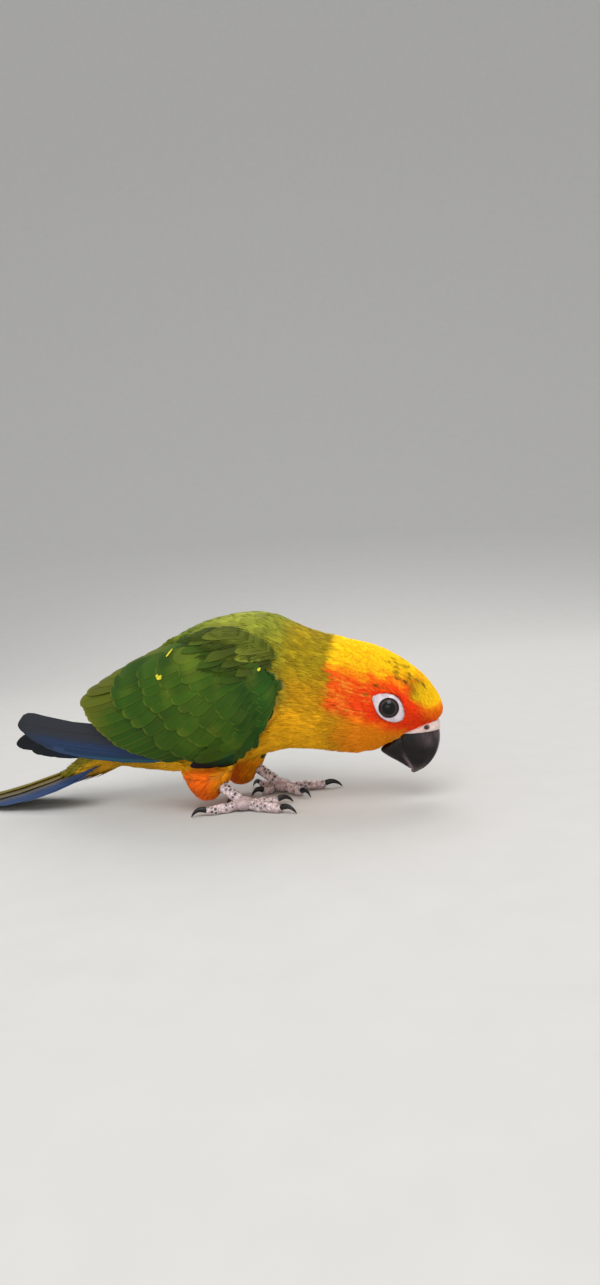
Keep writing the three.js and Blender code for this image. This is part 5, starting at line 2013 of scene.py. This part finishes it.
@dataclass(frozen=True)
class Face:
    """Eyes with their bare rings, cere and bill, in millimetres.

    Rows of the bill hold front x and z, rear x and z and half width, from face to tip. Rows of the cere hold
    height, x, half length, half width and tilt. The section is the profile of lids and ring.
    """

    lid_inner: float = 4.05
    eye_radius: float = 4.6
    upper: tuple = ((0.6, 36.2, -16, 34.7, 5.9), (0.8, 33.2, -15.8, 31.6, 6), (0.3, 29.6, -15.2, 28.2, 5.7),
                    (-1.2, 25.6, -14.4, 25.2, 4.9), (-3.5, 22.2, -13.4, 22.9, 4), (-6.4, 19.6, -12.6, 21, 3),
                    (-9.4, 18, -12.5, 19.4, 1.9), (-11.8, 17, -12.9, 17.8, 0.6))
    lower: tuple = ((-9, 34.6, -18.4, 33.8, 4.6), (-9, 32, -22, 30.6, 5.0), (-9, 29, -25, 27.7, 4.9),
                    (-9, 26.6, -22.2, 25, 4.4), (-9.6, 24.2, -18.2, 22.6, 3.8),
                    (-10.4, 22.2, -15.6, 20.9, 3.1), (-11, 20.4, -13.6, 19.5, 2.4),
                    (-11.3, 19.8, -13, 19.1, 2.0))
    cere_rings: tuple = ((35.3, -7.2, 8.2, 6.1, 0.05), (36.4, -7.2, 8.5, 6.4, 0.1),
                         (37.7, -7.0, 8.2, 6.3, 0.2), (39.0, -6.6, 7.4, 5.9, 0.3),
                         (40.0, -6.2, 6.2, 4.9, 0.34))
    section: tuple = ((3.9, 0.0), (3.95, 0.45), (4.15, 0.78), (4.4, 0.8), (4.7, 0.62), (4.95, 0.7),
                      (5.2, 0.6), (5.45, 0.66), (5.7, 0.4), (5.9, 0.0), (5.9, -0.9), (4.4, -0.9))
    nostril: tuple[float, float] = (-2.9, 37.2)
    nostril_depth: float = 1.3
    nostril_rim: float = 0.22
    cornea: float = 0.04
    ring_out: float = 2.3

    @staticmethod
    def reach(turn: Array) -> Array:
        """Distance of the bare ring's edge from the eye's middle at an angle round the eye."""
        return np.interp(np.degrees(turn), RING_OUTLINE[:, 0], RING_OUTLINE[:, 1], period=360)

    def eye_frame(self, side: Side) -> tuple[Array, ...]:
        """Where an eye sits and which way it looks, read from the solids.

        Args:
            side: Side of the head.

        Returns:
            Centre of the eyeball, and the directions out of the head, forwards and up.
        """
        low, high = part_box(f"eye_{side.label}")
        ball = to_drawing(np.array((low + high) / 2))
        points = to_drawing(np.array([v.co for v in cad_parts[f"eyelids_{side.label}"].data.vertices]))
        middle = points.mean(0)
        _, _, axes = np.linalg.svd(points - middle, full_matrices=False)
        out = unit(axes[2] * np.sign(axes[2][1] * side.value))
        ahead = unit(np.array((1.0, 0, 0)) - out * out[0])
        return ball, out, ahead, unit(np.cross(out, ahead) * -side.value)

    def eyeball(self, side: Side, glass: Material) -> None:
        """Builds one eyeball with the low dome of its cornea.

        Args:
            side: Side of the head.
            glass: Its finish.
        """
        ball, out, ahead, up = self.eye_frame(side)
        bm = bmesh.new()
        bmesh.ops.create_uvsphere(bm, u_segments=64, v_segments=40, radius=1)
        grid = np.array([v.co for v in bm.verts])
        from_pole = np.arccos(np.clip(grid[:, 2], -1, 1))
        dome = 1 + self.cornea * ramp(1.3, 0.0, from_pole)
        local = grid * dome[:, None] * self.eye_radius
        move_all(bm, ball + local[:, :1] * ahead + local[:, 1:2] * up + local[:, 2:] * out)
        eye = object_from(bm, f"eyeball_{side.label}", glass)
        set_attribute(eye.data, "Ring", from_pole / 1.07)
        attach(eye, "root")
        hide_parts(f"eye_{side.label}")

    def ring(self, side: Side, bare: Material) -> None:
        """Builds the bare ring with its two lids and folds by spinning its section round the eye.

        Args:
            side: Side of the head.
            bare: Its finish.
        """
        ball, out, ahead, up = self.eye_frame(side)
        centre = ball + out * self.ring_out
        bm = bmesh.new()
        verts = [bm.verts.new((radius, 0, height)) for radius, height in self.section]
        edges = [bm.edges.new((verts[k], verts[(k + 1) % len(verts)])) for k in range(len(verts))]
        bmesh.ops.spin(bm, geom=verts + edges, cent=(0, 0, 0), axis=(0, 0, 1), dvec=(0, 0, 0),
                       angle=2 * math.pi, steps=96, use_merge=True, use_duplicate=False)
        bmesh.ops.remove_doubles(bm, verts=bm.verts[:], dist=1e-4)
        grid = np.array([v.co for v in bm.verts])
        radius = np.hypot(grid[:, 0], grid[:, 1])
        angle = np.arctan2(grid[:, 1], grid[:, 0])
        outward = ramp(4.2, 5.9, radius)
        wrinkle = 0.05 * np.sin(angle * 29 + 2 * np.sin(angle * 3)) * outward
        wide = (self.reach(angle) - self.lid_inner) / (5.9 - self.lid_inner)
        spread = self.lid_inner + (radius - self.lid_inner) * (1 + (wide - 1) * ramp(4.3, 5.4, radius))
        spread = spread + 0.04 * np.sin(angle * 13) * outward
        height = grid[:, 2] + wrinkle - np.maximum(spread ** 2 - self.lid_inner ** 2, 0) / 32
        move_all(bm, centre + (spread * np.cos(angle))[:, None] * ahead
                 + (spread * np.sin(angle))[:, None] * up + height[:, None] * out)
        ring = object_from(bm, f"eye_ring_{side.label}", bare)
        shaded = ramp(-0.2, 1, np.cos(angle - math.radians(165))) * ramp(4.6, 5.7, radius) * 0.22
        rim = np.maximum(ramp(4.35, 4.1, radius) * 0.9, ramp(5.4, 5.9, radius) * 0.3)
        set_attribute(ring.data, "Dark", np.maximum(rim, shaded))
        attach(ring, "root")
        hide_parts(f"eyelids_{side.label}")

    @staticmethod
    def bill_half(name: str, sections: tuple, node: str, keel: float, square: float, seam: Array,
                  horn: Material) -> None:
        """Builds one half of the bill.

        Args:
            name: Name of the piece.
            sections: Front x and z, rear x and z, and half width, from the face to the tip.
            node: The solid that it stands for.
            keel: How much the front ridge narrows, as a share.
            square: Roundness of the sections: 2 for an ellipse, more for a squarer one.
            seam: Points x and z of the line where the halves meet, from the tip up.
            horn: Its finish.
        """
        table = smooth_line(np.array(sections, float), np.linspace(0, 1, 34))
        rings = []
        for front_x, front_z, rear_x, rear_z, half in table:
            front, rear = np.array((front_x, 0, front_z)), np.array((rear_x, 0, rear_z))
            ring = oval((front + rear) / 2, np.array((0, half, 0)), (front - rear) / 2, 44, square)
            level = (ring - rear) @ (front - rear) / np.dot(front - rear, front - rear)
            ring[:, 1] *= 1 - keel * ramp(0.6, 1.0, level)
            rings.append(ring)
        bm = bmesh.new()
        loft(bm, rings)
        piece = object_from(bm, name, horn)
        place = to_drawing(np.array([v.co for v in piece.data.vertices]))
        # Paler on the upper front as a painted sheen highlight; near the tip and along the seam it is real
        # wear.
        wear_and_sheen = ramp(27, 33, place[:, 2]) * ramp(-7, -2, place[:, 0]) * 0.9 + ramp(22, 18.5, place[:, 2]) * 0.5
        from_seam = np.abs(place[:, 0] - np.interp(place[:, 2], seam[:, 1], seam[:, 0]) - 0.3)
        wear_and_sheen = wear_and_sheen + ramp(1.1, 0.2, from_seam) * ramp(29, 22, place[:, 2]) * 0.8
        set_attribute(piece.data, "WearAndSheen", np.clip(wear_and_sheen, 0, 1))
        level = piece.modifiers.new("smooth", "SUBSURF")
        level.levels = level.render_levels = 1
        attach(piece, "root")
        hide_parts(node)

    def cere(self, bare: Material) -> None:
        """Builds the bare strip over the bill, with its two nostrils pressed in.

        Args:
            bare: Its finish.
        """
        table = smooth_line(np.array(self.cere_rings, float), np.linspace(0, 1, 26))
        rings = [oval(np.array((x, 0, z + tilt * x)), np.array((1, 0, tilt)) * long, np.array((0, half, 0)),
                      120, 2.3) for z, x, long, half, tilt in table]
        bm = bmesh.new()
        loft(bm, rings)
        dark = []
        for vert in bm.verts:
            place = to_drawing(np.array(vert.co))
            near = math.hypot((place[0] - self.nostril[0]) * 0.8, place[2] - self.nostril[1])
            # The pit's darkness, kept under Dark, is painted shade in the nostril's hollow.
            pit = float(ramp(1.15, 0.65, near)) * (abs(place[1]) > 2)
            rim = math.exp(-((near - 1.4) / 0.35) ** 2) * self.nostril_rim * (abs(place[1]) > 2)
            place[1] += math.copysign(rim - pit * self.nostril_depth, place[1])
            vert.co = to_frame(place)
            dark.append(pit)
        piece = object_from(bm, "cere_skin", bare)
        set_attribute(piece.data, "Dark", np.array(dark))
        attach(piece, "root")
        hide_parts("cere")

    def build(self) -> None:
        """Builds the face."""
        glass = EyeGlass("eye_glass").build()
        lids = BareSkin("eye_ring_skin", Shade.ring, Shade.ring_blush, Shade.ring_crease_and_shade, 2600).build()
        wax = BareSkin("cere_skin", Shade.cere, Shade.cere_blush, Shade.cere_crease_and_pit_shade, 2200).build()
        horn = Horn("bill_horn", Shade.bill, Shade.bill_worn_and_sheen, 0.34, 240).build()
        for side in Side:
            self.eyeball(side, glass)
            self.ring(side, lids)
        self.cere(wax)
        seam = np.array(self.upper)[::-1, 2:4]
        self.bill_half("upper_bill", self.upper, "bill_upper", 0.42, 3.8, seam, horn)
        self.bill_half("lower_bill", self.lower, "bill_lower", 0.0, 2.3, seam, horn)
        log.info("face built")


@dataclass(frozen=True)
class Foot:
    """One foot: shank, toes with their scutes, and claws, in millimetres.

    Rows of the toes hold name, turn outwards in degrees, length and length of the claw. Rows of shape and
    hook hold share of the length, height, and half width and half height as shares of the radius.
    """

    side: Side
    middle_x: float
    width: float = 15.5
    toes: tuple = (("front_inner", -34, 15, 6.5), ("front_outer", 14, 20, 7.5),
                   ("hind_outer", 152, 16.5, 6.5), ("hind_inner", 214, 9.5, 5.5))
    shape: tuple = ((-0.2, 2.6, 0.9, 0.95), (0, 2.5, 0.9, 0.95), (0.2, 2.05, 1.05, 1.1),
                    (0.42, 2.3, 0.9, 1), (0.66, 1.95, 1, 1.04), (0.9, 1.9, 0.86, 0.94),
                    (1, 2.1, 0.55, 0.65), (1.04, 2.2, 0.25, 0.3))
    hook: tuple = ((-0.06, 2.4, 0.75, 0.95), (0.1, 2.8, 0.8, 1), (0.3, 3.1, 0.74, 0.95),
                   (0.5, 3.0, 0.62, 0.8), (0.68, 2.5, 0.48, 0.62), (0.84, 1.7, 0.33, 0.44),
                   (0.94, 0.9, 0.2, 0.27), (1, 0.3, 0.06, 0.1))
    ankle: tuple[float, float, float] = (4.4, 4.1, 3.1)
    toe_start: float = 5.4
    claw_gap: float = 0.35
    toe_radius: float = 2.05
    claw_radius: float = 1.3

    @property
    def centre(self) -> Array:
        """Middle of the foot on the floor."""
        return np.array((self.middle_x, self.side.value * self.width, FLOOR))

    def direction(self, turn: float) -> Array:
        """Direction of a toe by its turn outwards from straight ahead, in degrees."""
        angle = math.radians(turn)
        return np.array((math.cos(angle), self.side.value * math.sin(angle), 0))

    def rings(self, direction: Array, start: float, end: float, shape: tuple, radius: float, fine: int,
              count: int) -> list[Array]:
        """Rings of a toe or claw from one distance before the foot's middle to another.

        Args:
            direction: Way that the toe points.
            start: First distance.
            end: Last distance.
            shape: Rows of share, height, and half width and half height as shares of the radius.
            radius: Radius at its widest.
            fine: Number of rings.
            count: Points in a ring.

        Returns:
            The rings.
        """
        table = smooth_line(np.array(shape, float), np.linspace(0, 1, fine))
        centres = self.centre + direction * (start + (end - start) * table[:, :1])
        centres = centres + np.array((0, 0, 1)) * table[:, 1:2]
        ways = unit(np.gradient(centres, axis=0))
        side = unit(np.cross((0, 0, 1), direction))
        made = []
        for centre, way, (_, _, wide, tall) in zip(centres, ways, table):
            up = unit(np.cross(way, side))
            ring = oval(centre, side * wide * radius, up * tall * radius, count)
            ring[:, 2] = np.maximum(ring[:, 2], FLOOR + 0.02)
            made.append(ring)
        return made

    def shank(self) -> tuple[Array, Array]:
        """Upper and lower end of the shank."""
        high = np.array((self.middle_x - 13, self.side.value * (self.width - 0.8), FLOOR + 13))
        return high, self.centre + np.array((0, 0, 3.2))

    def build(self, bare: Material, plates: Material, horn: Material) -> None:
        """Builds the foot's pieces; shank, toe skins and claws each stand for their solid, and the scutes lie
        over them.

        Args:
            bare: Finish of the skin.
            plates: Finish of the scutes.
            horn: Finish of the claws.
        """
        label = self.side.label
        high, low = self.shank()
        bm = bmesh.new()
        centres = high + (low - high) * np.linspace(-0.18, 1.0, 14)[:, None]
        way = unit(low - high)
        side = unit(np.cross((0, 0, 1), way))
        up = np.cross(way, side)
        loft(bm, [oval(c, side * 2.25, up * 2.4, 20) for c in centres])
        add_lump(bm, low, self.ankle)
        shank = self.finish(bm, f"shank_{label}", bare, f"tarsus_{label}")
        scutes = Plumes(f"scutes_{label}", plates)
        self.plate(scutes, [(c, side * 2.3, up * 2.45) for c in centres[2:]], 7, 901)
        for number, (name, turn, length, claw) in enumerate(self.toes):
            direction = self.direction(turn)
            rings = self.rings(direction, self.toe_start, length, self.shape, self.toe_radius, 24, 20)
            bm = bmesh.new()
            loft(bm, rings)
            self.finish(bm, f"toe_skin_{name}_{label}", bare, f"toe_{name}_{label}")
            cross = unit(np.cross((0, 0, 1), direction))
            frames = [(ring.mean(0), cross * np.ptp((ring - ring.mean(0)) @ cross) / 2,
                       np.array((0, 0, 1)) * np.ptp(ring[:, 2]) / 2) for ring in rings[2:-2:2]]
            self.plate(scutes, frames, 7, 910 + number)
            bm = bmesh.new()
            root = length + self.claw_gap
            loft(bm, self.rings(direction, root, root + claw, self.hook, self.claw_radius, 26, 14))
            nail = self.finish(bm, f"nail_{name}_{label}", horn, f"claw_{name}_{label}")
            nail.data.attributes.remove(nail.data.attributes["Dark"])
            set_attribute(nail.data, "WearAndSheen", np.full(len(nail.data.vertices), 0.15))
        for piece in scutes.build():
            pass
        log.info("foot %s built, shank %s", label, shank.name)

    @staticmethod
    def finish(bm: BMesh, name: str, material: Material, node: str) -> Object:
        """Links a piece of the foot, which stands for a solid.

        Args:
            bm: Its mesh.
            name: Its name.
            material: Its finish.
            node: The solid.

        Returns:
            The piece.
        """
        piece = object_from(bm, name, material)
        set_attribute(piece.data, "Dark", np.zeros(len(piece.data.vertices)))
        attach(piece, "root")
        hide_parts(node)
        return piece

    @staticmethod
    def plate(scutes: Plumes, frames: list[tuple], count: int, seed: int) -> None:
        """Lays rows of small plates over a limb.

        Args:
            scutes: Set that they join.
            frames: Centre, half axis across and half axis up of sections along the limb.
            count: Plates in a row.
            seed: Start of the random draw.
        """
        draw = np.random.default_rng(seed)
        form = VaneForm(Outline.SCUTE.value, 4)
        for row, ((centre, side, up), (ahead, _, _)) in enumerate(zip(frames[:-1], frames[1:])):
            along = (ahead - centre) * 1.05
            for index in range(count):
                angle = (index + 0.5 * (row % 2) + draw.uniform(-0.1, 0.1)) / count * 2 * math.pi
                outward = side * math.cos(angle) + up * math.sin(angle)
                if outward[2] < -0.45 * np.linalg.norm(up):
                    continue
                around = -side * math.sin(angle) + up * math.cos(angle)
                half = np.linalg.norm(around) * math.pi / count * 0.93
                size = draw.uniform(0.75, 1.05)
                v = (form.along - 0.5) * size
                u = form.across * form.wide * half * size
                dome = 0.16 - 0.3 * form.deep - 0.12 * (form.across ** 2 + (2 * form.along - 1) ** 2)
                normal = unit(outward)
                points = (centre + outward + along * 0.5 + v[:, None] * along + u[:, None] * unit(around)
                          + (dome - u ** 2 / 5)[:, None] * normal)
                points[:, 2] = np.maximum(points[:, 2], FLOOR + 0.03)
                dark = draw.uniform() < 0.3 + 0.35 * max(outward[2] / np.linalg.norm(up), 0)
                grey = draw.uniform(0.75, 1) if dark else draw.uniform(0, 0.2)
                tint = mixed(Shade.foot_pale, Shade.foot_grey, np.array((grey,)))
                fringe = mixed(Shade.foot_pale, Shade.foot_grey, np.array((draw.uniform(0, 0.2),)))
                flat = draw.uniform(0.05, 0.95, (1, 2))
                scutes.add(form, points[None], tint, fringe, flat, int(draw.integers(1, 9999)))


def main() -> None:
    """Builds everything in order."""
    Studio().build()
    lie = Lie()
    markings = Markings(lie)
    downy = Plumage("face_plumage", 7, 0.0, 0.3, 0.5, 0.0, 0.8, 0.15).build()
    soft = Plumage("soft_plumage", 7, 0.0, 0.3, 0.5, 0.0, 0.75, 0.2).build()
    scaly = Plumage("scaly_plumage", 9, 0.0, 0.6, 0.6, 0.0, 0.7, 0.25).build()
    covert = Plumage("covert_plumage", 60, 0.16, 0.5, 0.8, 0.3, 0.62, 0.2).build()
    vane = Plumage("flight_plumage", 60, 0.22, 0.8, 0.8, 0.6, 0.56, 0.25).build()
    skin = Skin().build(markings)
    coat = Coat(skin, lie, markings)
    finishes = {"face": downy, "crown": downy, "mantle": scaly, "lesser_coverts": covert, "tail_base": scaly}
    for tract in coat.tracts:
        coat.lay(tract, finishes.get(tract.name, soft))
    for side in Side:
        Wing(side, vane, covert).build()
    Tail(vane).build()
    Face().build()
    bare = BareSkin("foot_skin", Shade.foot_skin, Shade.foot_blush, Shade.foot_crease, 1500, 0.45).build()
    plates = Scute("foot_scutes").build()
    horn = Horn("claw_horn", Shade.claw, Shade.claw_worn, 0.3, 500).build()
    Foot(Side.RIGHT, -85).build(bare, plates, horn)
    Foot(Side.LEFT, -79).build(bare, plates, horn)
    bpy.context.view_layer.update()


if __name__ == "__main__":
    main()
